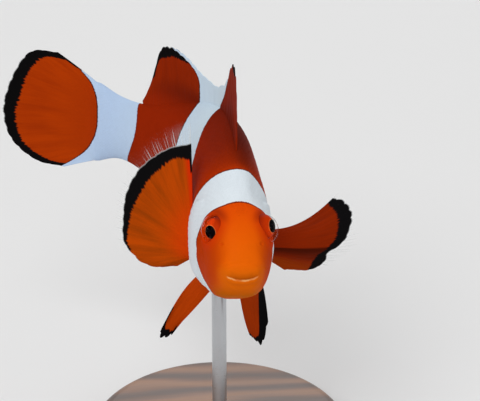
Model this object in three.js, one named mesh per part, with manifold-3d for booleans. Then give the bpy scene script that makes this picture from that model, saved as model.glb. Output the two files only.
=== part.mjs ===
// A common clownfish (Amphiprion ocellaris), life size, turning to its right above a display stand.
// Millimetres, +Z up. The snout points to -Y, so the fish's left side is on +X at the head. The origin is
// the centre of the underside of the stand's base.
import * as THREE from "three";
import { mergeVertices } from "three/addons/utils/BufferGeometryUtils.js";
import Module from "manifold-3d";

const wasm = await Module();
wasm.setup();

// ---- Driving dimensions -------------------------------------------------------------------------------
const STANDARD_LENGTH = 65; // snout to the end of the scaled tail base, along the body
const MM = STANDARD_LENGTH / 100; // one percent of that length, the unit of every table of the fish
const GAP = 0.3; // mm between solids that touch
const SNOUT_HEIGHT = 52; // mm from the underside of the stand to the mouth
const BANK = 3.4; // degrees that the fish leans about its long axis, towards its left side

// Heading of the body's axis along the fish, in degrees towards its right.
const HEADING = [[0, 0], [25, -4], [45, 4], [60, 25], [75, 36], [88, 42], [100, 58], [130, 87]];

// Outline in percent, by station from the snout: height of the back, depth of the belly, half width.
const BACK = [[0, 1.4], [1.5, 4.1], [4, 7], [8, 10.5], [14, 14.1], [22, 18.2], [30, 20.9], [42, 22.4],
  [55, 21.2], [68, 17], [80, 12], [86, 10.4], [93, 10.6], [100, 13.2]];
const BELLY = [[0, 1.6], [1.5, 4.4], [4, 6.9], [8, 9.6], [14, 13.3], [20, 16], [26, 17.2], [34, 18.1],
  [44, 18.4], [56, 16.8], [68, 13.4], [80, 9.6], [87, 8], [93, 8.2], [100, 11.2]];
const WIDTH = [[0, 2.8], [1.5, 4.4], [4, 6.05], [8, 7.8], [14, 8.9], [20, 9.7], [26, 10.4], [34, 10.2],
  [44, 9.4], [56, 7.9], [68, 6], [80, 4.1], [90, 2.9], [100, 1.7]];
// How fast a section narrows towards the back and the belly: 1 is an ellipse, more is a sharper ridge.
const BACK_RIDGE = [[0, 0.9], [8, 0.9], [16, 1.1], [30, 1.4], [60, 1.4], [85, 1.15], [100, 1]];
const BELLY_RIDGE = [[0, 0.8], [3, 0.64], [8, 0.56], [12, 0.6], [16, 0.65], [20, 0.5], [26, 0.4], [33, 0.62],
  [45, 0.95], [70, 1.15], [100, 1]];

// Stations where one length of the body meets the next.
const HEAD_END = 26;
const MID_TRUNK = 52;
const STALK_START = 82;

// In percent: where each is from the snout, the midline and the axis, and its half sizes.
const EYE = { station: 11.5, left: 6.6, up: 7.2, radius: 3.6, depth: 2.9, forward: 14, rise: 12 };
const GILL_COVER = { station: 21, left: 11.6, up: -2.5, length: 7.6, depth: 5.4, height: 12.5 };
// The lower jaw: station where the mouth's slit ends, station where the jaw ends below, height of the slit.
const JAW = { slit: 3.2, chin: 9.5, top: -0.1 };

// Thickness of the fins in mm, and the share of their length over which the thick root thins out.
const FIN_ROOT = 1.5;
const RIDGE_ROOT = 1;
const FIN_TIP = 0.6;
const FIN_SHEATH = 0.22;
const PAIRED_INSET = 1; // percent that a paired fin's root lies inside the body's flank

// Fins on the midline, by rays from front to back: root station, root height, tip station, tip height.
const DORSAL_SPINES = [[27, 17, 28.5, 23.5], [31.5, 18, 33.5, 31], [36, 19, 39, 36.6],
  [41, 19.5, 43.5, 36.4], [47, 19, 48.5, 29.6], [54, 18, 55.2, 25.9]];
const DORSAL_SOFT = [[54.8, 17.5, 56, 25.8], [60, 16, 62.2, 26.8], [66, 14, 69, 29.2],
  [72, 12, 75.3, 30], [78, 10.5, 79.6, 26.5], [83.5, 9, 85, 13]];
const ANAL = [[63, -11, 64.5, -20], [68, -9.5, 71, -24.5], [73, -8, 77, -25], [78, -6.5, 81.5, -21],
  [82.5, -6, 85, -11.5]];
const CAUDAL = [[100.5, 12.8, 111.5, 19.2], [100.5, 9, 119, 18.6], [100.5, 5, 124.5, 11.2],
  [100.5, 0.9, 126.6, 1.2], [100.5, -3.2, 124, -7.8], [100.5, -7.2, 117, -13.6], [100.5, -10.8, 109, -14.4]];

// Paired fins, by rays from front to back: root station, root height, then how far the tip is outward,
// backward and upward of the root, and how far the ray's middle hangs below a straight line.
const PECTORAL_RIGHT = [[27.5, -0.6, 1, 8.2, 26.1, 0], [27.4, -2, 8, 9.8, 24.5, 0],
  [27.3, -3.5, 14.5, 9.4, 19.8, 0], [27.2, -4.9, 19.3, 7.7, 12.9, 0], [27.4, -6.2, 20.3, 6.5, 6.3, 0],
  [27.6, -7.2, 18.8, 3.9, 0.3, 0], [27.9, -8.1, 10.9, 2.2, -4.3, 0], [28.2, -8.8, 3.8, 2.4, -3.9, 0]];
const PECTORAL_LEFT = [[27.5, -0.6, 21.2, 16.6, 2.6, 3.3], [27.4, -2.6, 25.3, 10.7, 1.7, 2.4],
  [27.2, -4.6, 25.4, 5.1, -1.2, 1.2], [27.4, -6.4, 21.1, 5.5, -5.4, 0.5], [27.8, -7.8, 13.9, 6.4, -8.6, 0],
  [28.2, -8.8, 6.1, 3.8, -5.8, 0]];
const PELVIC_RIGHT = [[29.5, -14.5, 7, 6, -16.6, -1.9], [29.5, -15.8, 9.3, 9, -21.5, -1.6],
  [29.5, -16.9, 8.2, 9, -20.6, 0], [29.7, -17.5, 8.4, 7, -16.4, 0.4]];
const PELVIC_LEFT = [[29.5, -13.9, 4.9, 5, -17, -2.8], [29.5, -15.6, 5.1, 6, -22.9, -0.8],
  [29.5, -17.1, 4.6, 5, -19.8, 0.8], [29.7, -17.55, 4.6, 3, -16.6, 1.5]];

// The display stand, in mm.
const BASE = { radius: 23, height: 7, round: 2.2, chamfer: 0.6 };
const ROD = { radius: 1.25, footRadius: 4, footHeight: 2.4, footRound: 0.8 };
const CRADLE = { radius: 2.6, footRadius: 1.65, height: 5, sunk: 1.9 };
const HELD_AT = 45; // station of the belly that the stand holds

const ORANGE = { color: 0xd9500c, roughness: 0.45, metalness: 0 };
const DEEP_ORANGE = { color: 0xc4380b, roughness: 0.45, metalness: 0 };
const WHITE = { color: 0xdfe6ec, roughness: 0.45, metalness: 0 };
const EYE_BLACK = { color: 0x0b0b0d, roughness: 0.12, metalness: 0 };
const WALNUT = { color: 0x5b3c27, roughness: 0.45, metalness: 0 };
const STEEL = { color: 0xb9bcc0, roughness: 0.3, metalness: 1 };

// ---- The body's curves --------------------------------------------------------------------------------
const radians = THREE.MathUtils.degToRad;

/** A smooth curve through [station, value] pairs, flat beyond its ends. */
function curve(table) {
  const last = table.length - 1;
  const slope = table.map((_, i) => {
    const [x0, y0] = table[Math.max(0, i - 1)];
    const [x1, y1] = table[Math.min(last, i + 1)];
    return (y1 - y0) / (x1 - x0);
  });
  return (x) => {
    if (x <= table[0][0]) return table[0][1];
    if (x >= table[last][0]) return table[last][1];
    const i = table.findIndex((row) => row[0] > x) - 1;
    const span = table[i + 1][0] - table[i][0];
    const u = (x - table[i][0]) / span;
    const from = (1 + 2 * u) * (1 - u) ** 2 * table[i][1] + u * (1 - u) ** 2 * span * slope[i];
    const to = u * u * (3 - 2 * u) * table[i + 1][1] - u * u * (1 - u) * span * slope[i + 1];
    return from + to;
  };
}

const heading = curve(HEADING);
const back = curve(BACK);
const belly = curve(BELLY);
const width = curve(WIDTH);
const backRidge = curve(BACK_RIDGE);
const bellyRidge = curve(BELLY_RIDGE);

// The body's axis seen from above, in percent, as points a fixed step apart.
const AXIS_STEP = 0.5;
const AXIS_END = 135;
const axis = [new THREE.Vector2(0, 0)];
for (let station = AXIS_STEP / 2; station < AXIS_END; station += AXIS_STEP) {
  const angle = radians(heading(station));
  const step = new THREE.Vector2(-Math.sin(angle), Math.cos(angle)).multiplyScalar(AXIS_STEP);
  axis.push(axis.at(-1).clone().add(step));
}

/** The point at a station, a distance to the left and a height, in percent. In mm in the fish's frame. */
function place(station, left, up) {
  const angle = radians(heading(station));
  const at = Math.max(0, station) / AXIS_STEP;
  const i = Math.min(axis.length - 2, Math.floor(at));
  const middle = axis[i].clone().lerp(axis[i + 1], at - i);
  const ahead = Math.min(0, station);
  return new THREE.Vector3(
    middle.x + left * Math.cos(angle) - ahead * Math.sin(angle),
    middle.y + left * Math.sin(angle) + ahead * Math.cos(angle),
    up,
  ).multiplyScalar(MM);
}

/** A point of the body's section in percent: turn 0 is the back, 90 degrees the left side, 180 the belly. */
function section(station, turn, grow = 0) {
  const up = Math.cos(turn);
  const across = Math.sin(turn);
  const ridge = up > 0 ? backRidge(station) : bellyRidge(station);
  const height = up > 0 ? back(station) : belly(station);
  return [Math.sign(across) * Math.abs(across) ** ridge * (width(station) + grow), up * (height + grow)];
}

/** Half the body's width at a station and a height, in percent. */
function flank(station, height) {
  const reach = height > 0 ? back(station) : belly(station);
  const ridge = height > 0 ? backRidge(station) : bellyRidge(station);
  const up = Math.min(1, Math.abs(height) / reach);
  return width(station) * Math.sqrt(1 - up * up) ** ridge;
}

// ---- Solids -------------------------------------------------------------------------------------------
/** Moves every vertex of a closed three.js geometry by a function, and makes the result a solid. */
function warped(geometry, move) {
  geometry.deleteAttribute("normal");
  geometry.deleteAttribute("uv");
  const position = geometry.attributes.position;
  const point = new THREE.Vector3();
  for (let i = 0; i < position.count; i += 1) {
    point.fromBufferAttribute(position, i);
    position.setXYZ(i, ...move(point).toArray());
  }
  const merged = mergeVertices(geometry, 1e-4);
  return new wasm.Manifold(new wasm.Mesh({
    numProp: 3,
    vertProperties: merged.attributes.position.array,
    triVerts: new Uint32Array(merged.index.array),
  }));
}

const BODY_RINGS = 40;
const BODY_SIDES = 24;
const RING_CROWDING = 1.35; // above 1, rings stand closer together at the face

/** The body from the snout to a station at the tail, grown by some percent. */
function bodySolid(grow, end) {
  const tube = new THREE.CylinderGeometry(1, 1, 1, BODY_SIDES, BODY_RINGS);
  return warped(tube, (point) => {
    const along = point.y + 0.5;
    const station = along === 0 ? -grow : end * along ** RING_CROWDING;
    if (Math.hypot(point.x, point.z) < 0.5) return place(station, 0, 0);
    return place(station, ...section(station, Math.atan2(point.x, point.z), grow));
  });
}

/** The part of space between two stations, half a gap short at both. */
function lengthCutter(from, to) {
  const slab = new THREE.BoxGeometry(2, 1, 2);
  const trim = GAP / MM / 2;
  return warped(slab, (point) => {
    const station = point.y < 0 ? from + trim : to - trim;
    return place(station, point.x * 26, point.z * 50);
  });
}

/** The ball of an eye, grown by some percent to cut its socket. */
function eyeSolid(side, grow = 0) {
  const ball = new THREE.SphereGeometry(1, 16, 11);
  const halfSizes = new THREE.Vector3(EYE.depth + grow, EYE.radius + grow, EYE.radius + grow);
  const turn = new THREE.Euler(0, radians(-side * EYE.rise), radians(-side * EYE.forward));
  return warped(ball, (point) => {
    point.multiply(halfSizes).applyEuler(turn);
    return place(EYE.station + point.y, side * EYE.left + point.x, EYE.up + point.z);
  });
}

/** The part of space that a gill cover takes from the body's side, grown by some percent. */
function gillCutter(side, grow = 0) {
  const plate = new THREE.SphereGeometry(1, 20, 12);
  return warped(plate, (point) => place(
    GILL_COVER.station + point.y * (GILL_COVER.length + grow),
    side * GILL_COVER.left + point.x * (GILL_COVER.depth + grow),
    GILL_COVER.up + point.z * (GILL_COVER.height + grow),
  ));
}

/** The part of space under the mouth that the lower jaw takes from the head, grown by some percent. */
function jawCutter(grow = 0) {
  const wedge = new THREE.BoxGeometry(1, 1, 1);
  return warped(wedge, (point) => {
    const rear = (point.z < 0 ? JAW.chin : JAW.slit) + grow;
    return place(point.y < 0 ? -4 : rear, point.x * 40, point.z < 0 ? -12 : JAW.top + grow);
  });
}

// ---- Fins ---------------------------------------------------------------------------------------------
/** Smooth curves through the columns of a table of rays, which run from 0 at the first ray to 1. */
function rayCurves(rays) {
  const last = rays.length - 1;
  return rays[0].map((_, column) => curve(rays.map((ray, i) => [i / last, ray[column]])));
}

/** A fin's solid from its middle surface(across, out) in mm, where both run from 0 to 1. */
function finSolid(surface, across, along, root) {
  const step = 1e-3;
  const sheet = new THREE.BoxGeometry(1, 1, 1, across, along, 1);
  return warped(sheet, (corner) => {
    const t = corner.x + 0.5;
    const out = corner.y + 0.5;
    const nearT = Math.min(t, 1 - step);
    const nearOut = Math.min(Math.max(out, step), 1 - step);
    const near = surface(nearT, nearOut);
    const acrossRays = surface(nearT + step, nearOut).sub(near);
    const alongRay = surface(nearT, nearOut + step).sub(near);
    const normal = acrossRays.cross(alongRay).normalize();
    const thickness = FIN_TIP + (root - FIN_TIP) * Math.exp(-out / FIN_SHEATH);
    return surface(t, out).addScaledVector(normal, corner.z * thickness);
  });
}

/** A fin that stands on the fish's midline. */
function medianFin(rays, across, along, root) {
  const [rootAt, rootUp, tipAt, tipUp] = rayCurves(rays);
  const surface = (t, out) => place(
    THREE.MathUtils.lerp(rootAt(t), tipAt(t), out),
    0,
    THREE.MathUtils.lerp(rootUp(t), tipUp(t), out),
  );
  return finSolid(surface, across, along, root);
}

/** One of a pair of fins. Side is 1 on the left and -1 on the right. */
function pairedFin(rays, side, across, along) {
  const [rootAt, rootUp, outward, backward, upward, sag] = rayCurves(rays);
  const surface = (t, out) => {
    const root = place(rootAt(t), side * (flank(rootAt(t), rootUp(t)) - PAIRED_INSET), rootUp(t));
    const reach = new THREE.Vector3(side * outward(t), backward(t), upward(t)).multiplyScalar(out);
    reach.z -= sag(t) * 4 * out * (1 - out);
    return root.addScaledVector(reach, MM);
  };
  return finSolid(surface, across, along, FIN_ROOT);
}

// ---- Display stand ------------------------------------------------------------------------------------
/** A turned solid that stands at a height, from its outline up from the axis and back to it. */
function turned(outline, segments, height) {
  const profile = outline.map(([radius, up]) => new THREE.Vector2(radius, up));
  const lathe = new THREE.LatheGeometry(profile, segments).rotateX(Math.PI / 2).translate(0, 0, height);
  return warped(lathe, (point) => point);
}

/** Points of a quarter round from the side of a disc to its top. */
function rounded(radius, height, round, steps) {
  return Array.from({ length: steps + 1 }, (_, i) => {
    const angle = (i / steps) * (Math.PI / 2);
    return [radius - round + round * Math.cos(angle), height - round + round * Math.sin(angle)];
  });
}

// ---- Assembly -----------------------------------------------------------------------------------------
const fish = new THREE.Group();
fish.rotation.y = radians(BANK);
const held = place(HELD_AT, 0, -belly(HELD_AT)).applyEuler(fish.rotation);
fish.position.set(-held.x, -held.y, SNOUT_HEIGHT);
fish.updateMatrixWorld(true);

const stand = new THREE.Group();
const clownfish = new THREE.Group();
clownfish.name = "clownfish";
clownfish.add(fish, stand);

/** Makes a named mesh from a solid and adds it to a group. */
function add(group, name, solid, look) {
  const { numProp, vertProperties, triVerts } = solid.getMesh();
  const corners = new THREE.InterleavedBuffer(vertProperties, numProp);
  const geometry = new THREE.BufferGeometry();
  geometry.setAttribute("position", new THREE.InterleavedBufferAttribute(corners, 3, 0));
  geometry.setIndex(new THREE.BufferAttribute(triVerts, 1));
  geometry.computeVertexNormals();
  const mesh = new THREE.Mesh(geometry, new THREE.MeshStandardMaterial({ name, ...look }));
  mesh.name = name;
  group.add(mesh);
}

const body = bodySolid(0, 100);
const clearOfBody = bodySolid(GAP / MM, 101);
let head = body.intersect(lengthCutter(-6, HEAD_END)).subtract(jawCutter(GAP / MM));
let trunk = body.intersect(lengthCutter(HEAD_END, MID_TRUNK));
for (const [name, side] of [["left", 1], ["right", -1]]) {
  const socket = eyeSolid(side, GAP / MM);
  const gillBed = gillCutter(side, GAP / MM);
  head = head.subtract(socket).subtract(gillBed);
  trunk = trunk.subtract(gillBed);
  add(fish, `eye_${name}`, eyeSolid(side), EYE_BLACK);
  add(fish, `gill_cover_${name}`, body.intersect(gillCutter(side)).subtract(socket), WHITE);
}
add(fish, "head", head, ORANGE);
add(fish, "lower_jaw", body.intersect(jawCutter()), ORANGE);
add(fish, "trunk_front", trunk, DEEP_ORANGE);
add(fish, "trunk_rear", body.intersect(lengthCutter(MID_TRUNK, STALK_START)), DEEP_ORANGE);
add(fish, "tail_stalk", body.intersect(lengthCutter(STALK_START, 110)), WHITE);

const fins = {
  fin_dorsal_spiny: medianFin(DORSAL_SPINES, 16, 4, RIDGE_ROOT),
  fin_dorsal_soft: medianFin(DORSAL_SOFT, 16, 4, RIDGE_ROOT),
  fin_anal: medianFin(ANAL, 12, 4, RIDGE_ROOT),
  fin_caudal: medianFin(CAUDAL, 20, 5, FIN_ROOT),
  fin_pectoral_right: pairedFin(PECTORAL_RIGHT, -1, 18, 5),
  fin_pectoral_left: pairedFin(PECTORAL_LEFT, 1, 18, 5),
  fin_pelvic_right: pairedFin(PELVIC_RIGHT, -1, 9, 4),
  fin_pelvic_left: pairedFin(PELVIC_LEFT, 1, 9, 4),
};
for (const [name, solid] of Object.entries(fins)) {
  add(fish, name, solid.subtract(clearOfBody), DEEP_ORANGE);
}

const base = [
  [0, 0],
  [BASE.radius - BASE.chamfer, 0],
  [BASE.radius, BASE.chamfer],
  ...rounded(BASE.radius, BASE.height, BASE.round, 5),
  [0, BASE.height],
];
add(stand, "stand_base", turned(base, 36, 0), WALNUT);

const cradleFoot = SNOUT_HEIGHT + held.z + CRADLE.sunk - CRADLE.height;
const cradle = [
  [0, 0],
  [CRADLE.footRadius, 0],
  [CRADLE.radius, CRADLE.height / 2],
  [CRADLE.radius, CRADLE.height],
  [0, CRADLE.height],
];
const roomForBody = clearOfBody.transform(fish.matrixWorld.elements);
add(stand, "stand_cradle", turned(cradle, 20, cradleFoot).subtract(roomForBody), STEEL);

const rodFoot = BASE.height + GAP;
const rodHeight = cradleFoot - GAP - rodFoot;
const rod = [
  [0, 0],
  [ROD.footRadius, 0],
  ...rounded(ROD.footRadius, ROD.footHeight, ROD.footRound, 3),
  [ROD.radius, ROD.footHeight],
  [ROD.radius, rodHeight],
  [0, rodHeight],
];
add(stand, "stand_rod", turned(rod, 20, rodFoot), STEEL);

export default clownfish;
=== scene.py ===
"""A common clownfish as a life-size museum model, held by a small walnut and steel display stand.

The fish is described along its own bent axis. A place on it is a station counted back from the snout, a
distance to its left and a height, all in hundredths of its standard length. One smooth skin covers the
body, thin scales lie on the skin, and each fin has its rays, its dark margin and its clear hem.
"""

import logging
import math
from collections.abc import Callable, Sequence
from dataclasses import dataclass, field
from enum import Enum
from functools import reduce
from typing import Any, ClassVar

import bmesh
import bpy
import numpy as np
from mathutils import Matrix, Vector


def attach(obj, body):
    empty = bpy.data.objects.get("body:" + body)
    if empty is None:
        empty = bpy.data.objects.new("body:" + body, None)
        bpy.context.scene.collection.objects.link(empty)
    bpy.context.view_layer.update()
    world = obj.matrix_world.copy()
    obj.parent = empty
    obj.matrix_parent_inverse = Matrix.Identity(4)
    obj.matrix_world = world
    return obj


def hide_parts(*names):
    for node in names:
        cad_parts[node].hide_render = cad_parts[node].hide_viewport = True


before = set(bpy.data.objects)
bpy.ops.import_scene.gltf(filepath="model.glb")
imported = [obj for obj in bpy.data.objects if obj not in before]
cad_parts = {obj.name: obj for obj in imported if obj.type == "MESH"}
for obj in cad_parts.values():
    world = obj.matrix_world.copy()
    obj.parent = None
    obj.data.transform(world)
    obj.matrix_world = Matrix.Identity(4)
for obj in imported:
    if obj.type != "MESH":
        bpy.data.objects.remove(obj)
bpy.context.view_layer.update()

log = logging.getLogger("clownfish")

Table = Sequence[Sequence[float]]
Colour = tuple[int, int, int]
Point = tuple[float, float, float]
Array = np.ndarray
Socket = bpy.types.NodeSocket
Mesh = bpy.types.Mesh
Material = bpy.types.Material

UNIT = 0.00065  # metres in one hundredth of the standard length of 65 mm
SNOUT_HEIGHT = 0.052
BANK = 3.4  # degrees that the fish leans to its left
HELD_AT = 45.0  # station of the belly over the middle of the stand
PLAIN_WHITE = (1.0, 1.0, 1.0, 1.0)
TONES_END = 105.0  # station at which the colours along the fish end
SHEEN = 0.01  # specular level of the painted fish, low so that the white studio doesn't pale its reds


# ---- Curves and small functions -----------------------------------------------------------------------
class Curve:
    """A smooth curve through the rows of a table, flat beyond its ends."""

    def __init__(self, rows: Table) -> None:
        """Takes the table.

        Args:
            rows: A position in the first column and the values there in the others.
        """
        data = np.array(rows, float)
        self.at, self.values = data[:, 0], data[:, 1:]
        last = len(data) - 1
        after = np.minimum(np.arange(last + 1) + 1, last)
        before = np.maximum(np.arange(last + 1) - 1, 0)
        rise = self.values[after] - self.values[before]
        self.slope = rise / (self.at[after] - self.at[before])[:, None]

    def __call__(self, position: Array | float) -> Array:
        """Reads the curve.

        Args:
            position: Where to read it.

        Returns:
            The values there, without their last axis where the table has one column of them.
        """
        where = np.clip(position, self.at[0], self.at[-1])
        i = np.clip(np.searchsorted(self.at, where, "right") - 1, 0, len(self.at) - 2)
        span = (self.at[i + 1] - self.at[i])[..., None]
        u = (np.asarray(where) - self.at[i])[..., None] / span
        start = (1 + 2 * u) * (1 - u) ** 2 * self.values[i] + u * (1 - u) ** 2 * span * self.slope[i]
        end = u * u * (3 - 2 * u) * self.values[i + 1] - u * u * (1 - u) * span * self.slope[i + 1]
        value = start + end
        return value[..., 0] if value.shape[-1] == 1 else value


def evenly(rows: Table) -> Curve:
    """A curve through the rows of a table, spread evenly from 0 to 1."""
    last = len(rows) - 1
    return Curve([(i / last, *row) for i, row in enumerate(rows)])


def bump(distance: Array, width: float) -> Array:
    """A round hump of height 1 that falls away over a width."""
    return np.exp(-((distance / width) ** 2))


def ease(value: Array, start: float, end: float) -> Array:
    """A smooth rise from 0 at start to 1 at end, which may be the smaller of the two."""
    share = np.clip((value - start) / (end - start), 0.0, 1.0)
    return share * share * (3 - 2 * share)


def square_to(first: Array, second: Array) -> Array:
    """The unit vectors at right angles to two sets of vectors."""
    normal = np.cross(first, second)
    return normal / np.maximum(np.linalg.norm(normal, axis=-1, keepdims=True), 1e-12)


def linear(colour: Colour) -> tuple[float, float, float, float]:
    """A screen colour of three bytes as the linear colour that a node takes."""
    parts = [c / 255 for c in colour]
    red, green, blue = (c / 12.92 if c < 0.04045 else ((c + 0.055) / 1.055) ** 2.4 for c in parts)
    return red, green, blue, 1.0


# ---- The body's form ----------------------------------------------------------------------------------
class Body:
    """The fish's bent axis and the sections along it."""

    HEADING: Table = ((0, 0), (25, -4), (45, 4), (60, 25), (75, 36), (88, 42), (100, 58), (130, 87))
    BACK: Table = (
        (0, 1.4), (1.5, 4.1), (4, 7), (8, 10.5), (14, 14.1), (22, 18.2), (30, 20.9),
        (42, 22.4), (55, 21.2), (68, 17), (80, 12), (86, 10.4), (93, 10.6), (100, 13.2),
    )  # fmt: skip
    BELLY: Table = (
        (0, 1.6), (1.5, 4.4), (4, 6.9), (8, 9.6), (14, 13.3), (20, 16), (26, 17.2), (34, 18.1),
        (44, 18.4), (56, 16.8), (68, 13.4), (80, 9.6), (87, 8), (93, 8.2), (100, 11.2),
    )  # fmt: skip
    WIDTH: Table = (
        (0, 2.8), (1.5, 4.4), (4, 6.05), (8, 7.8), (14, 8.9), (20, 9.7), (26, 10.4),
        (34, 10.2), (44, 9.4), (56, 7.9), (68, 6), (80, 4.1), (90, 2.9), (100, 1.7),
    )  # fmt: skip
    BACK_RIDGE: Table = ((0, 0.9), (8, 0.9), (16, 1.1), (30, 1.4), (60, 1.4), (85, 1.15), (100, 1))
    BELLY_RIDGE: Table = (
        (0, 0.8), (3, 0.64), (8, 0.56), (12, 0.6), (16, 0.65), (20, 0.5), (26, 0.4), (33, 0.62),
        (45, 0.95), (70, 1.15), (100, 1),
    )  # fmt: skip
    STEP = 0.5
    END = 135.0

    def __init__(self) -> None:
        """Works out the axis and the fish's place over the stand."""
        self.heading = Curve(self.HEADING)
        self.back, self.belly, self.width = Curve(self.BACK), Curve(self.BELLY), Curve(self.WIDTH)
        self.back_ridge, self.belly_ridge = Curve(self.BACK_RIDGE), Curve(self.BELLY_RIDGE)
        angle = np.radians(self.heading(np.arange(self.STEP / 2, self.END, self.STEP)))
        steps = np.stack([-np.sin(angle), np.cos(angle)], axis=1) * self.STEP
        self.axis = np.vstack([np.zeros(2), np.cumsum(steps, axis=0)])
        self.lean = np.array(Matrix.Rotation(math.radians(BANK), 3, "Y"))
        held = self.own(HELD_AT, 0, -self.belly(HELD_AT)) * UNIT @ self.lean.T
        self.position = np.array([-held[0], -held[1], SNOUT_HEIGHT])

    def own(self, station: Array | float, left: Array | float, up: Array | float) -> Array:
        """Places on the fish as points of its own upright frame, in hundredths.

        Args:
            station: Stations from the snout.
            left: Distances to the fish's left.
            up: Heights over the axis.

        Returns:
            The points, x to the fish's left, y to its rear and z up.
        """
        station = np.asarray(station, float)
        angle = np.radians(self.heading(station))
        at = np.clip(station, 0, None) / self.STEP
        ahead = np.minimum(station, 0)
        number = np.arange(len(self.axis))
        x = np.interp(at, number, self.axis[:, 0]) + left * np.cos(angle) - ahead * np.sin(angle)
        y = np.interp(at, number, self.axis[:, 1]) + left * np.sin(angle) + ahead * np.cos(angle)
        return np.stack(np.broadcast_arrays(x, y, np.asarray(up, float)), axis=-1)

    def world(self, points: Array) -> Array:
        """Points of the fish's own frame as points of the stand's frame, in metres."""
        return points * UNIT @ self.lean.T + self.position

    def place(self, station: Array | float, left: Array | float, up: Array | float) -> Array:
        """Places on the fish as points of the stand's frame, in metres."""
        return self.world(self.own(station, left, up))

    def section(self, station: Array, turn: Array) -> tuple[Array, Array]:
        """A point of the body's section.

        Args:
            station: Stations from the snout.
            turn: Angles from the back: a quarter turn is the left side, half a turn the belly.

        Returns:
            The distance to the left and the height.
        """
        up, across = np.cos(turn), np.sin(turn)
        ridge = np.where(up > 0, self.back_ridge(station), self.belly_ridge(station))
        height = np.where(up > 0, self.back(station), self.belly(station))
        return np.sign(across) * np.abs(across) ** ridge * self.width(station), up * height

    def flank(self, station: Array, height: Array) -> Array:
        """Half the body's width at a station and a height."""
        reach = np.where(height > 0, self.back(station), self.belly(station))
        ridge = np.where(height > 0, self.back_ridge(station), self.belly_ridge(station))
        level = np.clip(np.abs(height) / reach, 0, 1)
        return self.width(station) * np.sqrt(1 - level * level) ** ridge


# ---- Features of the head -----------------------------------------------------------------------------
@dataclass(frozen=True)
class Mouth:
    """The closed mouth: two lips, the slit between them and the fold behind the upper lip."""

    # How light the lips' pale line is, by distance to the left.
    GLINT: ClassVar[Table] = (
        (-5, 0), (-4.3, 0), (-3.7, 0.5), (-2.9, 0.8), (-2.1, 0.6), (-1.3, 0.2), (-0.5, 0.3),
        (0.2, 0.85), (1.2, 0.85), (2, 0.5), (3, 0.5), (3.6, 0.3), (4.2, 0), (5, 0),
    )  # fmt: skip

    middle: float = -0.6  # height of the slit at the midline
    curl: float = 0.048  # how fast the slit rises to its corners
    corner: float = 3.4
    lip: float = 0.28
    slit: float = 0.26

    def line(self, side: Array) -> Array:
        """Height of the slit at a distance from the midline."""
        return self.middle + self.curl * side**2

    def lift(self, station: Array, left: Array, up: Array) -> Array:
        """How far the lips stand out from the plain head."""
        side = np.abs(left)
        above = up - self.line(side)
        reach = ease(side, self.corner + 0.9, self.corner - 0.7) * ease(station, 4.5, 2.5)
        lips = self.lip * (0.85 * bump(above - 0.75, 0.5) + bump(above + 0.85, 0.6))
        slit = self.slit * bump(above, 0.14)
        fold = 0.16 * bump(up - (3.6 - 0.075 * side**2), 0.4)
        fold = fold * ease(side, 6.4, 5.2) * ease(station, 6.5, 4.5)
        chin = 0.04 * bump(up - (-2.7 + 0.07 * side**2), 0.5) * ease(side, 5.5, 4.0) * ease(station, 6, 3)
        return (lips - slit) * reach - fold - chin


@dataclass(frozen=True)
class Eye:
    """An eye: where it sits in the head and the forms around it."""

    station: float = 11.5
    left: float = 6.6
    up: float = 7.2
    radius: float = 3.6
    depth: float = 2.9
    forward: float = 14.0
    rise: float = 12.0
    rim: float = 0.5
    bed: float = 0.7

    def frame(self, gaze: tuple[float, float] | None = None) -> Array:
        """Rows of the left eye's own axes in left, station and up: outward, rearward and upward."""
        forward, rise = gaze or (self.forward, self.rise)
        turn = Matrix.Rotation(math.radians(-forward), 3, "Z")
        turn = turn @ Matrix.Rotation(math.radians(-rise), 3, "Y")
        return np.array(turn).T

    def offset(self, station: Array, left: Array, up: Array) -> Array:
        """Distance of places on either side of the head from the nearer eye's axis."""
        away = np.stack([np.abs(left) - self.left, station - self.station, up - self.up], axis=-1)
        outward = self.frame()[0]
        return np.linalg.norm(away - (away @ outward)[..., None] * outward, axis=-1)

    def lift(self, station: Array, left: Array, up: Array) -> Array:
        """The soft rim round the eye and the bed that the ball lies in."""
        far = self.offset(station, left, up)
        edge = self.radius - 0.1
        outside = self.rim * bump(np.maximum(far - edge, 0), 1.7)
        inside = (self.rim + self.bed) * ease(far, edge, edge - 0.9)
        return np.where(far > edge, outside, self.rim - inside)


@dataclass(frozen=True)
class Nostril:
    """The one small nostril on each side, ahead of the eye."""

    station: float = 5.6
    up: float = 6.3
    radius: float = 0.3

    def lift(self, station: Array, left: Array, up: Array) -> Array:
        """A pit with a thin raised lip, a little off the midline."""
        far = np.hypot(station - self.station, up - self.up) * ease(np.abs(left), 0.0, 1.0)
        far = np.where(np.abs(left) > 1.5, far, 9.0)
        return 0.12 * bump(far - 1.7 * self.radius, self.radius * 0.7) - 0.4 * bump(far, self.radius)


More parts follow.
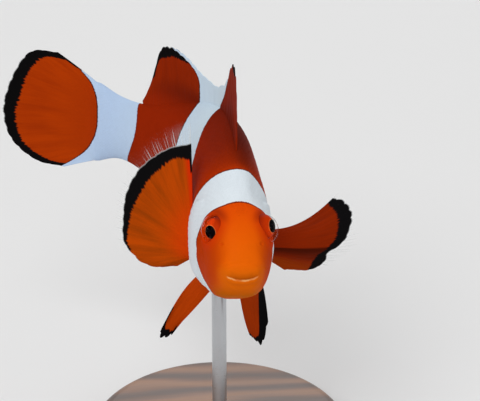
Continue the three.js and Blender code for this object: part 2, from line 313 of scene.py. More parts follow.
@dataclass(frozen=True)
class GillCover:
    """The gill cover's plate with its free rear edge, and the edge of the cheek before it."""

    station: float = 21.0
    up: float = -2.5
    length: float = 7.2
    height: float = 12.0
    step: float = 0.42
    throat: float = 1.1  # how far the jaw's lower edges are drawn in

    def lift(self, station: Array, left: Array, up: Array) -> Array:
        """The plate's rise over the flank behind it."""
        out = np.hypot((station - self.station) / self.length, (up - self.up) / self.height)
        plate = self.step * ease(out, 1.03, 0.97) * ease(station, 17.0, 23.5)
        groove = 0.2 * bump((out - 1.06) * self.length, 0.32) * ease(station, 19.0, 23.0)
        out = np.hypot((station - 9.5) / 7.6, (up + 3.5) / 8.5)
        cheek = 0.16 * ease(out, 1.04, 0.96) * ease(station, 11.0, 16.0)
        crease = 0.1 * bump((out - 1.08) * 7.6, 0.3) * ease(station, 12.0, 15.5)
        throat = self.throat * bump(station - 20.0, 6.5) * ease(up, -9.5, -13.5)
        throat = throat * ease(np.abs(left), 1.5, 4.0)
        return plate - groove + cheek - crease - throat


@dataclass(frozen=True)
class Shoulder:
    """The left temple and shoulder, which lie a little flatter than the right ones."""

    flat: float = 1.15

    def lift(self, station: Array, left: Array, up: Array) -> Array:
        """How far the skin is drawn in."""
        along = ease(station, 12.0, 20.0) * ease(station, 50.0, 34.0)
        high = ease(up, -5.0, 1.0) * ease(up, 21.0, 12.0)
        return -self.flat * along * high * ease(left, 1.5, 5.0)


# ---- Finishes: the nodes of the materials -------------------------------------------------------------
class Net:
    """Short calls that add nodes to one node tree and wire them together."""

    def __init__(self, tree: bpy.types.NodeTree) -> None:
        """Takes the tree to add to."""
        self.tree = tree

    def add(self, kind: str, settings: dict[str, Any] | None = None, **inputs: Any) -> bpy.types.Node:
        """Adds a node.

        Args:
            kind: The node's type without the ShaderNode before it.
            settings: The node's own options.
            inputs: Values or sockets by input name, with _ for a space.

        Returns:
            The node.
        """
        node = self.tree.nodes.new("ShaderNode" + kind)
        for name, value in (settings or {}).items():
            setattr(node, name, value)
        self.wire(node, **inputs)
        return node

    def wire(self, node: bpy.types.Node, **inputs: Any) -> None:
        """Feeds a node's inputs by name, with _ for a space."""
        for name, value in inputs.items():
            self.feed(node.inputs[name.replace("_", " ")], value)

    def feed(self, socket: Socket, value: Any) -> None:
        """Wires a socket to an input, or sets the input to a value."""
        if isinstance(value, Socket):
            self.tree.links.new(value, socket)
        else:
            socket.default_value = value

    def math(self, operation: str, *values: Any, clamp: bool = False) -> Socket:
        """The result of an operation on one to three numbers."""
        node = self.add("Math", {"operation": operation, "use_clamp": clamp})
        for socket, value in zip(node.inputs, values, strict=False):
            self.feed(socket, value)
        return node.outputs[0]

    def times(self, *values: Any) -> Socket:
        """The product of numbers."""
        return reduce(lambda first, second: self.math("MULTIPLY", first, second), values)

    def plus(self, first: Any, second: Any) -> Socket:
        """The sum of two numbers."""
        return self.math("ADD", first, second)

    def minus(self, first: Any, second: Any) -> Socket:
        """The first number less the second."""
        return self.math("SUBTRACT", first, second)

    def line(self, value: Any, slope: Any, start: Any) -> Socket:
        """A number times a slope, plus a start."""
        return self.math("MULTIPLY_ADD", value, slope, start)

    def most(self, *values: Any) -> Socket:
        """The greatest of several numbers."""
        return reduce(lambda first, second: self.math("MAXIMUM", first, second), values)

    def least(self, first: Any, second: Any) -> Socket:
        """The smaller of two numbers."""
        return self.math("MINIMUM", first, second)

    def vector(self, operation: str, *values: Any, output: str = "Vector") -> Socket:
        """The result of an operation on one or two vectors."""
        node = self.add("VectorMath", {"operation": operation})
        for socket, value in zip(node.inputs, values, strict=False):
            self.feed(socket, value)
        return node.outputs[output]

    def blend(self, share: Any, low: Any, high: Any, mode: str = "MIX") -> Socket:
        """A mix of two colours, as sockets or screen colours, by a share from 0 to 1."""
        node = self.add("Mix", {"data_type": "RGBA", "blend_type": mode, "clamp_factor": True})
        low, high = (linear(c) if isinstance(c, tuple) else c for c in (low, high))
        for place, value in ((0, share), (6, low), (7, high)):
            self.feed(node.inputs[place], value)
        return node.outputs[2]

    def tint(self, colour: Any, tone: Any, *shares: Any) -> Socket:
        """A colour that turns to another by the product of shares from 0 to 1."""
        return self.blend(self.times(*shares), colour, tone)

    def grey(self, tone: Any) -> Socket:
        """A number as a grey colour."""
        return self.add("CombineColor", Red=tone, Green=tone, Blue=tone).outputs[0]

    def ease(self, value: Any, start: Any, end: Any) -> Socket:
        """A smooth rise from 0 at start to 1 at end."""
        settings = {"interpolation_type": "SMOOTHSTEP"}
        return self.add("MapRange", settings, Value=value, From_Min=start, From_Max=end).outputs[0]

    def fall(self, value: Any, start: Any, end: Any) -> Socket:
        """A smooth fall from 1 at start to 0 at end."""
        return self.minus(1.0, self.ease(value, start, end))

    def ramp(self, value: Any, stops: Sequence[tuple[float, Colour]]) -> Socket:
        """A colour that changes along a value from 0 to 1, through stops of a place and a screen colour."""
        node = self.add("ValToRGB", Fac=value)
        elements = node.color_ramp.elements
        while len(elements) < len(stops):
            elements.new(0.5)
        for element, (place, colour) in zip(elements, stops):
            element.position = place
            element.color = linear(colour)
        return node.outputs[0]

    def curve(self, value: Any, rows: Table, spread: Sequence[float]) -> Socket:
        """A number that follows another along a smooth line.

        Args:
            value: The number to follow.
            rows: Pairs of that number and the result.
            spread: The least and greatest of each that the line may hold.

        Returns:
            The result.
        """
        x0, x1, y0, y1 = spread
        scaled = self.add("MapRange", Value=value, From_Min=x0, From_Max=x1).outputs[0]
        node = self.add("FloatCurve", Value=scaled)
        line = node.mapping.curves[0]
        pairs = [((x - x0) / (x1 - x0), (y - y0) / (y1 - y0)) for x, y in rows]
        for point, pair in zip(line.points, (pairs[0], pairs[-1])):
            point.location = pair
        for pair in pairs[1:-1]:
            line.points.new(*pair)
        for point in line.points:
            point.handle_type = "AUTO"
        node.mapping.extend = "HORIZONTAL"
        node.mapping.update()
        return self.line(node.outputs[0], y1 - y0, y0)

    def noise(self, where: Any, scale: float, detail: float = 2.0, roughness: float = 0.5) -> Socket:
        """A soft random value around a half."""
        node = self.add("TexNoise", Vector=where, Scale=scale, Detail=detail, Roughness=roughness)
        return node.outputs[0]

    def random_line(self, value: Any, scale: float, detail: float) -> Socket:
        """A random value that changes along one number."""
        settings = {"noise_dimensions": "1D"}
        return self.add("TexNoise", settings, W=value, Scale=scale, Detail=detail).outputs[0]

    def mapped(self, vector: Any, **changes: Any) -> Socket:
        """A vector moved, turned and scaled."""
        return self.add("Mapping", Vector=vector, **changes).outputs[0]

    def scaled(self, vector: Any, length: Any) -> Socket:
        """A vector times a number."""
        node = self.add("VectorMath", {"operation": "SCALE"}, Scale=length)
        self.feed(node.inputs[0], vector)
        return node.outputs[0]

    def attribute(self, name: str) -> Socket:
        """A vector that the piece's mesh carries."""
        return self.add("Attribute", {"attribute_name": name}).outputs["Vector"]

    def split(self, vector: Any) -> tuple[Socket, ...]:
        """The three numbers of a vector."""
        return tuple(self.add("SeparateXYZ", Vector=vector).outputs)

    def join(self, x: Any = 0.0, y: Any = 0.0, z: Any = 0.0) -> Socket:
        """A vector of three numbers."""
        return self.add("CombineXYZ", X=x, Y=y, Z=z).outputs[0]

    def place_group(self, group: bpy.types.NodeTree, **inputs: Any) -> bpy.types.Node:
        """A shared group of nodes, with its inputs by name."""
        return self.add("Group", {"node_tree": group}, **inputs)

    def bumped(self, height: Any, strength: float, distance: float) -> Socket:
        """A normal that a height tilts."""
        node = self.add("Bump", Height=height, Strength=strength, Distance=distance)
        return node.outputs[0]


@dataclass(frozen=True)
class SharedEffect:
    """A group of nodes that several materials use."""

    name: str
    inputs: dict[str, str]  # kinds of sockets by name
    outputs: dict[str, str]

    def build(self, wire: Callable[[Net, dict[str, Any]], dict[str, Any]]) -> bpy.types.NodeTree:
        """Builds the group.

        Args:
            wire: Takes the group's nodes and its inputs by name, and returns its outputs by name.

        Returns:
            The group.
        """
        tree = bpy.data.node_groups.new(self.name, "ShaderNodeTree")
        for way, sockets in (("INPUT", self.inputs), ("OUTPUT", self.outputs)):
            for name, kind in sockets.items():
                tree.interface.new_socket(name=name, in_out=way, socket_type="NodeSocket" + kind)
        net = Net(tree)
        source = tree.nodes.new("NodeGroupInput")
        sink = tree.nodes.new("NodeGroupOutput")
        net.wire(sink, **wire(net, {name: source.outputs[name] for name in self.inputs}))
        return tree


@dataclass(frozen=True)
class Palette:
    """The fish's colours, as they look on the screen."""

    white: Sequence[tuple[float, Colour]] = (
        (0.0, (226, 233, 237)),
        (0.27, (222, 231, 238)),
        (0.5, (205, 221, 232)),
        (0.9, (186, 208, 236)),
    )
    flesh: Sequence[tuple[float, Colour]] = (
        (0.0, (230, 100, 6)),
        (0.05, (230, 92, 4)),
        (0.12, (222, 75, 3)),
        (0.19, (206, 60, 3)),
        (0.25, (172, 46, 4)),
        (0.31, (150, 36, 4)),
        (0.45, (146, 34, 4)),
        (0.8, (150, 38, 5)),
        (1.0, (172, 54, 4)),
    )
    chin: Colour = (190, 98, 4)
    # painted shade on the sides of the face
    cheek: Colour = (180, 52, 3)
    lips: Colour = (212, 98, 7)
    lip_line: Colour = (238, 178, 112)
    # painted shadow of the upper lip over the mouth's slit
    crease: Colour = (158, 70, 4)
    round_eye: Colour = (204, 54, 4)
    # painted shade over the eyes, under the brow
    brow_shade: Colour = (120, 34, 8)
    belly: Colour = (190, 74, 5)
    # the back's own dark red, laid on more strongly on the left side as painted shade
    nape_and_shade: Colour = (82, 20, 8)
    dark: Colour = (13, 12, 13)
    edge: Colour = (40, 18, 12)
    hem: Colour = (222, 226, 226)


@dataclass(frozen=True)
class Bands:
    """The edges of the three white bands, as pairs of a height and a station."""

    head_front: Table = (
        (-16, 18.5), (-14.4, 16.3), (-13, 14.4), (-11.1, 12.1), (-9.2, 10.4), (-7.8, 10.3), (-6.7, 11.8),
        (-5.7, 13.6), (-4.3, 15.6), (-3, 17), (-1.7, 17.6), (0.5, 18.1), (3.5, 17.3), (6.4, 16.6),
        (9, 15.5), (11, 14.6), (12.5, 13.8), (14, 13.3),
    )  # fmt: skip
    head_rear: Table = (
        (-17, 21.5), (-16, 23.6), (-14.5, 25.6), (-12, 26.6), (-8.5, 27.2), (-5, 27.8), (-1, 28.5), (3, 28.7),
        (7, 27.7), (11, 26), (14.7, 24.3), (17, 22.9), (18.4, 21.7),
    )  # fmt: skip
    middle_front: Table = (
        (-19, 52.5), (-13, 50.8), (-8, 47.6), (-3, 44.8), (2, 44.3), (8, 46.2), (12.5, 48.5),
        (17, 50.5), (22, 50.9), (26, 48.8), (31, 46.8),
    )  # fmt: skip
    middle_rear: Table = (
        (-16, 59), (-10, 60.4), (-4, 62), (2, 63.4), (8, 63.4), (14, 62.6), (18, 61.8),
        (22, 62.2), (24.6, 62.8), (27, 65.4), (28.8, 70), (30.2, 76),
    )  # fmt: skip
    tail_front: Table = ((-9, 89.2), (-5, 87), (-1, 85), (3, 83.8), (7, 84.1), (10, 85.4), (13, 87))
    tail_rear: Table = (
        (-14.4, 110), (-12, 106.6), (-8, 102.4), (-4, 100), (0, 98.7), (4, 98.6), (8, 99.2),
        (11.7, 100.9), (14, 103.3), (19, 109),
    )  # fmt: skip


class Finishes:
    """The effects that the fish's materials share, built once."""

    def __init__(self, palette: Palette, bands: Bands, eye: Eye, mouth: Mouth) -> None:
        """Builds the groups.

        Args:
            palette: The fish's colours.
            bands: The edges of its white bands.
            eye: The eye that the face's colours are set round.
            mouth: The mouth that the lips' colours follow.
        """
        self.palette, self.bands, self.eye, self.mouth = palette, bands, eye, mouth
        self.livery = SharedEffect(
            "livery",
            {"Place": "Vector", "Ground": "Color", "Ragged": "Float"},
            {"Colour": "Color", "White": "Float"},
        ).build(self.wire_livery)
        self.flesh = SharedEffect("flesh", {"Place": "Vector"}, {"Colour": "Color"}).build(self.wire_flesh)
        self.grain = SharedEffect(
            "fine_grain",
            {"Place": "Vector", "Scale": "Float", "Amount": "Float"},
            {"Tone": "Float", "Height": "Float"},
        ).build(self.wire_grain)
        self.margin = SharedEffect(
            "fin_margin",
            {
                "Ray": "Vector", "Colour": "Color", "Dark From": "Float", "Clear From": "Float",
                "Ragged": "Float", "Milky": "Float", "Hair": "Float",
            },
            {"Colour": "Color", "Alpha": "Float", "Dark": "Float"},
        ).build(self.wire_margin)

    def wire_livery(self, net: Net, given: dict[str, Any]) -> dict[str, Any]:
        """The white bands with their thin dark edges, over a ground colour."""
        station, _, up = net.split(given["Place"])
        rough = net.noise(given["Place"], 2.2, 3.0, 0.6)
        station = net.plus(station, net.times(net.minus(rough, 0.5), given["Ragged"]))
        spread = (-26.0, 40.0, 0.0, 130.0)
        inside: list[Any] = []
        lines: list[Any] = []
        rows = self.bands
        for front, rear, front_line, rear_line in (
            (rows.head_front, rows.head_rear, 0.85, 0.85),
            (rows.middle_front, rows.middle_rear, 0.6, 1.0),
            (rows.tail_front, rows.tail_rear, 0.45, 1.0),
        ):
            ahead = net.minus(station, net.curve(up, front, spread))
            behind = net.minus(net.curve(up, rear, spread), station)
            inside.append(net.times(net.ease(ahead, -0.09, 0.09), net.ease(behind, -0.09, 0.09)))
            both = net.least(ahead, behind)
            for distance, strength in ((ahead, front_line), (behind, rear_line)):
                near = net.fall(net.math("ABSOLUTE", net.plus(distance, 0.2)), 0.1, 0.3)
                at_edge = net.math("LESS_THAN", net.minus(distance, both), 0.05)
                lines.append(net.times(near, at_edge, strength))
        white = net.most(*inside)
        pearl = net.ramp(net.math("DIVIDE", station, TONES_END), self.palette.white)
        colour = net.tint(given["Ground"], self.palette.edge, net.most(*lines), 0.9)
        return {"Colour": net.blend(white, colour, pearl), "White": white}

    def wire_flesh(self, net: Net, given: dict[str, Any]) -> dict[str, Any]:
        """The orange of the body, paler on the lips and chin and redder round the eyes and on the back, with
        painted shade on the sides of the face, over the mouth's slit, over the eyes and on the back's left
        side.
        """
        palette, mouth, eye = self.palette, self.mouth, self.eye
        station, left, up = net.split(given["Place"])
        side = net.math("ABSOLUTE", left)
        slit = net.line(net.times(side, side), mouth.curl, mouth.middle)
        slit = net.plus(slit, net.line(net.noise(net.join(left), 0.9), 0.5, -0.37))
        over = net.minus(up, slit)
        front = net.fall(station, 2.5, 4.5)
        away = net.vector("SUBTRACT", net.join(side, station, up), (eye.left, eye.station, eye.up))
        outward = tuple(float(v) for v in eye.frame()[0])
        along = net.vector("DOT_PRODUCT", away, outward, output="Value")
        off_axis = net.vector("SUBTRACT", away, net.scaled(outward, along))
        across = net.vector("LENGTH", off_axis, output="Value")
        colour = net.ramp(net.math("DIVIDE", station, TONES_END), palette.flesh)
        for tone, *shares in (
            # Painted shade: the face turns darker red toward its sides.
            (
                palette.cheek, net.ease(side, 2.4, 7.6), net.ease(station, 0.8, 4.0),
                net.fall(station, 17.0, 22.0), 0.85,
            ),
            (
                palette.chin, net.fall(up, -7.0, -1.5), net.fall(station, 7.0, 15.0),
                net.fall(side, 3.5, 7.5), 0.85,
            ),
            (palette.lips, net.fall(station, 1.0, 5.0), net.fall(up, 0.6, 3.2), 0.75),
            # Painted shadow of the upper lip, in a band just over the mouth's slit.
            (
                palette.crease, net.ease(over, 0.1, 0.6), net.fall(over, 0.7, 2.2),
                net.times(net.fall(side, 1.8, 4.2), front), 0.6,
            ),
            (
                palette.lip_line, net.fall(net.math("ABSOLUTE", over), 0.05, 0.3), front,
                net.curve(left, mouth.GLINT, (-6.0, 6.0, 0.0, 1.0)),
            ),
            (palette.round_eye, net.fall(across, 3.4, 6.4), 0.75),
            # Painted shade over each eye, under the brow.
            (palette.brow_shade, net.fall(across, 4.0, 5.6), net.ease(up, 9.6, 11.2), 0.5),
            (palette.belly, net.fall(up, -17.0, -9.0), net.ease(station, 26.0, 34.0), 0.45),
            # The back's own darker red, with painted shade that makes it twice as strong on the left side as
            # on the right.
            (
                palette.nape_and_shade, net.ease(up, 12.0, 21.0), net.ease(station, 20.0, 25.0),
                net.line(net.ease(left, -3.0, 3.0), 0.45, 0.45),
            ),
        ):  # fmt: skip
            colour = net.tint(colour, tone, *shares)
        return {"Colour": colour}

    @staticmethod
    def wire_grain(net: Net, given: dict[str, Any]) -> dict[str, Any]:
        """Small soft differences of tone, and the height of fine pores."""
        where = net.scaled(given["Place"], given["Scale"])
        cloud = net.noise(where, 0.35, 3.0, 0.6)
        tone = net.line(net.minus(cloud, 0.5), given["Amount"], 1.0)
        return {"Tone": tone, "Height": net.noise(where, 5.0)}

    def wire_margin(self, net: Net, given: dict[str, Any]) -> dict[str, Any]:
        """A fin's dark margin with its ragged inner edge, and the clear hem with its fine hairs."""
        phase, out, _ = net.split(given["Ray"])
        teeth = net.random_line(phase, 4.7, 2.0)
        rough = net.times(net.minus(teeth, 0.5), given["Ragged"])
        dark = net.ease(net.minus(out, net.plus(given["Dark From"], rough)), -0.012, 0.012)
        torn = net.line(rough, 0.15, given["Clear From"])
        clear = net.ease(net.minus(out, torn), -0.006, 0.014)
        hair = net.ease(net.random_line(phase, 9.0, 1.0), 0.56, 0.66)
        length = net.line(net.random_line(phase, 3.0, 1.0), 0.5, 0.7)
        hair = net.times(hair, net.fall(out, net.minus(length, 0.12), length))
        cloudy = net.times(given["Milky"], net.line(hair, 0.6, 0.4))
        cover = net.math("ADD", cloudy, net.line(hair, given["Hair"], 0.008), clamp=True)
        cover = net.times(cover, net.fall(out, 0.86, 1.0))
        fade = net.minus(1.0, net.times(clear, net.minus(1.0, cover)))
        colour = net.blend(dark, given["Colour"], self.palette.dark)
        colour = net.blend(clear, colour, self.palette.hem)
        return {"Colour": colour, "Alpha": fade, "Dark": dark}


def new_material(name: str) -> tuple[Material, Net, bpy.types.Node]:
    """A new material with nodes.

    Args:
        name: Its name.

    Returns:
        The material, its nodes and its shader.
    """
    material = bpy.data.materials.new(name)
    material.use_nodes = True
    return material, Net(material.node_tree), material.node_tree.nodes["Principled BSDF"]


@dataclass(frozen=True)
class SkinFinish:
    """Satin painted skin with the fish's colours, or the same on its scales."""

    finishes: Finishes
    scaled: bool = False

    def material(self, name: str) -> Material:
        """Builds the material."""
        material, net, shader = new_material(name)
        place = net.attribute("place")
        grain = net.place_group(self.finishes.grain, Place=place, Scale=1.0, Amount=0.1)
        ground = net.place_group(self.finishes.flesh, Place=place).outputs["Colour"]
        livery = net.place_group(self.finishes.livery, Place=place, Ground=ground, Ragged=0.35)
        tone = grain.outputs["Tone"]
        height: Any = grain.outputs["Height"]
        if self.scaled:
            x, y, chance = net.split(net.attribute("scale"))
            tone = net.line(net.minus(chance, 0.5), 0.06, tone)
            tone = net.line(net.ease(x, 0.5, 1.0), -0.13, tone)
            height = net.line(net.math("SINE", net.times(y, 26.0)), 0.25, height)
        calm = net.line(livery.outputs["White"], -0.6, 1.0)
        tone = net.line(net.minus(tone, 1.0), calm, 1.0)
        colour = net.blend(1.0, livery.outputs["Colour"], net.grey(tone), mode="MULTIPLY")
        net.wire(
            shader, Base_Color=colour, Roughness=net.line(livery.outputs["White"], 0.04, 0.5),
            Normal=net.bumped(height, 0.25, 0.00004), Specular_IOR_Level=SHEEN,
        )  # fmt: skip
        return material


@dataclass(frozen=True)
class FinFinish:
    """A fin's colours along its rays, and where on them it turns dark and then clear."""

    root: Colour
    ground: Colour
    shade: Colour
    dark_from: Table
    clear_from: Table
    first_dark: float = 2.0  # how far out along the first ray the dark margin runs in
    last_dark: float = 2.0
    banded: bool = False
    fleshy: float = 0.25
    streaks: float = 0.5  # how strong the dim streaks along the rays are
    ragged: float = 0.05
    milky: float = 0.0  # how cloudy the clear hem is near the first ray
    hair: float = 0.12
    fold: Point | None = None  # where across the shade of a fold starts and ends, and how deep it is
    shadow: Colour = (52, 13, 4)
    lower: Colour = (150, 52, 4)  # painted light on the lobe beyond the fold
    leading: Colour | None = None  # of the first ray

    def material(self, name: str, finishes: Finishes) -> Material:
        """Builds the material.

        Args:
            name: Its name.
            finishes: The shared effects.

        Returns:
            The material.
        """
        material, net, shader = new_material(name)
        place, ray = net.attribute("place"), net.attribute("ray")
        phase, out, across = net.split(ray)
        near = net.math("PINGPONG", phase, 0.5)
        broad = net.noise(net.join(net.times(phase, 0.7), net.times(out, 1.2)), 1.0)
        fine = net.noise(net.join(net.times(phase, 4.0), net.times(out, 2.5)), 1.5, 3.0, 0.6)
        dim = net.line(near, 0.16, net.line(fine, 0.4, broad))
        dim = net.times(net.ease(dim, 0.55, 1.0), net.times(net.ease(out, 0.1, 0.6), self.streaks))
        colour = net.blend(net.ease(out, 0.05, 0.5), self.root, self.ground)
        colour = net.blend(dim, colour, self.shade)
        spread = (0.0, 1.0, 0.0, 2.0)
        if self.fold:
            start, end, deep = self.fold
            # Painted shadow just inside the fold, and painted light on the lobe beyond it.
            inside = net.ease(across, start - 0.012, start + 0.012)
            colour = net.tint(colour, self.lower, net.ease(across, end - 0.1, end + 0.08))
            colour = net.tint(colour, self.shadow, inside, net.fall(across, start, end), deep)
        if self.leading:
            colour = net.blend(net.fall(across, 0.02, 0.07), colour, self.leading)
        if self.banded:
            flesh = net.place_group(finishes.flesh, Place=place).outputs["Colour"]
            colour = net.blend(net.fall(out, self.fleshy, self.fleshy * 2.5), colour, flesh)
        dark = net.curve(across, self.dark_from, spread)
        first = net.line(net.ease(across, 0.012, 0.04), 2.0, self.first_dark)
        last = net.line(net.fall(across, 0.955, 0.985), 2.0, self.last_dark)
        dark = net.least(dark, net.least(first, last))
        clear = net.curve(across, self.clear_from, spread)
        edge = net.place_group(
            finishes.margin, Ray=ray, Colour=colour, Dark_From=dark, Clear_From=clear,
            Ragged=self.ragged, Milky=net.times(net.fall(across, 0.04, 0.15), self.milky), Hair=self.hair,
        )  # fmt: skip
        colour = edge.outputs["Colour"]
        if self.banded:
            band = net.place_group(finishes.livery, Place=place, Ground=colour, Ragged=0.5)
            colour = band.outputs["Colour"]
        joints = net.times(net.math("SINE", net.times(out, 190.0)), net.fall(near, 0.1, 0.2))
        net.wire(
            shader, Base_Color=colour, Alpha=edge.outputs["Alpha"],
            Roughness=net.line(edge.outputs["Dark"], 0.1, 0.46),
            Normal=net.bumped(joints, 0.15, 0.00002), Specular_IOR_Level=SHEEN,
        )  # fmt: skip
        return material


@dataclass(frozen=True)
class EyeFinish:
    """The eye's ball, with its iris and pupil, and the clear cornea over it."""

    pupil: float = 1.62
    reach: float = 4.0  # distance from the eye's axis at which its colours end

    def ball(self) -> Material:
        """Builds the ball's material, which reads the distance from the eye's axis."""
        material, net, shader = new_material("iris_and_pupil")
        across, around, _ = net.split(net.attribute("eye"))
        fleck = net.noise(net.join(net.times(around, 5.0), across), 2.4, 3.0, 0.6)
        across = net.line(net.minus(fleck, 0.5), 0.05, across)
        edge = self.pupil / self.reach
        # The last stops darken the ball toward its rim: painted shade where it sinks under the brow and into
        # its socket.
        stops = (
            (edge - 0.01, (9, 6, 8)),
            (edge - 0.002, (46, 14, 8)),
            (edge + 0.008, (236, 132, 70)),
            (edge + 0.02, (206, 76, 22)),
            (edge + 0.05, (190, 50, 5)),
            (0.6, (186, 48, 4)),
            (0.74, (160, 38, 4)),
            (0.86, (104, 24, 5)),
        )
        colour = net.ramp(net.math("DIVIDE", across, self.reach), stops)
        streak = net.line(net.minus(fleck, 0.5), 0.3, 1.0)
        colour = net.blend(1.0, colour, net.grey(streak), mode="MULTIPLY")
        net.wire(shader, Base_Color=colour, Roughness=0.4, Specular_IOR_Level=SHEEN)
        return material

    def cornea(self, name: str, bend: float) -> Material:
        """Builds a cornea's clear material.

        Args:
            name: The piece's name.
            bend: How strongly it bends light, and so how clear its outline is.

        Returns:
            The material.
        """
        material, net, shader = new_material(f"clear_{name}")
        net.wire(shader, Base_Color=PLAIN_WHITE, Transmission_Weight=1.0, Roughness=0.0, IOR=bend)
        return material


@dataclass(frozen=True)
class WalnutFinish:
    """Oiled walnut with its grain along X."""

    pale: Colour = (142, 98, 64)
    middle: Colour = (106, 68, 43)
    deep: Colour = (64, 38, 24)

    def material(self) -> Material:
        """Builds the material."""
        material, net, shader = new_material("oiled_walnut")
        place = net.add("TexCoord").outputs["Object"]
        turned = net.mapped(place, Location=(0.0, 0.009, 0.034), Rotation=(0.03, 0.05, 0.2))
        waver = net.noise(net.mapped(turned, Scale=(14.0, 60.0, 60.0)), 1.0)
        _, beside, over = net.split(turned)
        round_pith = net.vector("LENGTH", net.join(beside, over), output="Value")
        rings = net.math("SINE", net.line(round_pith, 2400.0, net.times(waver, 16.0)))
        rings = net.line(rings, 0.5, 0.5)
        fine = net.mapped(place, Scale=(90.0, 1500.0, 1500.0), Rotation=(0.05, 0.1, 0.3))
        pores = net.noise(fine, 1.0, 2.0, 0.6)
        grain = net.line(net.minus(pores, 0.5), 0.5, net.times(rings, 0.75))
        colour = net.ramp(grain, ((0.0, self.deep), (0.4, self.middle), (0.9, self.pale)))
        net.wire(
            shader, Base_Color=colour, Roughness=net.line(pores, 0.2, 0.32),
            Normal=net.bumped(grain, 0.3, 0.00008), Coat_Weight=0.15, Coat_Roughness=0.2,
        )  # fmt: skip
        return material


@dataclass(frozen=True)
class SteelFinish:
    """Brushed steel with fine turning marks round Z."""

    tone: Colour = (188, 190, 193)
    dull: Colour = (170, 172, 176)
    bright: Colour = (205, 207, 209)

    def material(self) -> Material:
        """Builds the material."""
        material, net, shader = new_material("brushed_steel")
        place = net.add("TexCoord").outputs["Object"]
        marks = net.noise(net.mapped(place, Scale=(400.0, 400.0, 9000.0)), 1.0, 2.0, 0.6)
        patches = net.noise(net.mapped(place, Scale=(160.0, 160.0, 90.0)), 1.0, 3.0, 0.6)
        tone = net.blend(patches, self.dull, self.bright)
        net.wire(
            shader, Base_Color=net.blend(0.6, self.tone, tone), Roughness=net.line(marks, 0.18, 0.22),
            Normal=net.bumped(marks, 0.25, 0.00003), Metallic=1.0,
        )  # fmt: skip
        return material


# ---- Pieces -------------------------------------------------------------------------------------------
@dataclass
class Piece:
    """A mesh that becomes one named piece of the model."""

    name: str
    material: Material
    slot: str
    nodes: Sequence[str] = ()
    made: bpy.types.Object | None = field(default=None, init=False)

    def finish(self, mesh: Mesh, smooth_to: float | None = None) -> None:
        """Makes the object and hands it to the frame.

        Args:
            mesh: The finished mesh, in the stand's frame.
            smooth_to: The angle in degrees past which an edge stays sharp, or None to smooth them all.
        """
        mesh.name = self.name
        mesh.shade_smooth()
        if smooth_to is not None:
            mesh.set_sharp_from_angle(angle=math.radians(smooth_to))
        mesh.materials.append(self.material)
        self.made = add_object(self.name, mesh)
        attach(self.made, "root")
        if self.nodes:
            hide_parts(*self.nodes)
        triangles = sum(len(p.vertices) - 2 for p in mesh.polygons)
        log.info("%s: %d triangles", self.name, triangles)


def add_object(name: str, data: bpy.types.ID) -> bpy.types.Object:
    """A new object in the scene."""
    made = bpy.data.objects.new(name, data)
    bpy.context.scene.collection.objects.link(made)
    return made


def corners(mesh: Mesh) -> Array:
    """The mesh's vertices as rows of x, y and z."""
    values = np.empty(len(mesh.vertices) * 3, np.float32)
    mesh.vertices.foreach_get("co", values)
    return values.reshape(-1, 3).astype(float)


def set_corners(mesh: Mesh, points: Array) -> None:
    """Moves the mesh's vertices to new points."""
    mesh.vertices.foreach_set("co", points.astype(np.float32).ravel())
    mesh.update()


def carry(mesh: Mesh, name: str, vectors: Array) -> None:
    """Stores a vector for each vertex under a name."""
    layer = mesh.attributes.new(name, "FLOAT_VECTOR", "POINT")
    layer.data.foreach_set("vector", np.ascontiguousarray(vectors, np.float32).ravel())


def outside_out(mesh: Mesh, hollow: bool = False) -> None:
    """Turns a closed mesh's faces outward, but the second half of them inward where they line a hollow."""
    bm = bmesh.new()
    bm.from_mesh(mesh)
    bmesh.ops.recalc_face_normals(bm, faces=bm.faces)
    if hollow:
        bm.faces.ensure_lookup_table()
        bmesh.ops.reverse_faces(bm, faces=bm.faces[len(bm.faces) // 2 :])
    bm.to_mesh(mesh)
    bm.free()


def raise_copy(bm: bmesh.types.BMesh) -> list[bmesh.types.BMVert]:
    """Closes flat faces into a slab one high, and returns the vertices of its top."""
    top = bmesh.ops.extrude_face_region(bm, geom=bm.faces[:], use_keep_orig=True)["geom"]
    raised = [v for v in top if isinstance(v, bmesh.types.BMVert)]
    bmesh.ops.translate(bm, verts=raised, vec=(0, 0, 1))
    return raised


def mesh_of(bm: bmesh.types.BMesh) -> Mesh:
    """A new mesh from a bmesh, which is freed."""
    mesh = bpy.data.meshes.new("piece")
    bm.to_mesh(mesh)
    bm.free()
    return mesh


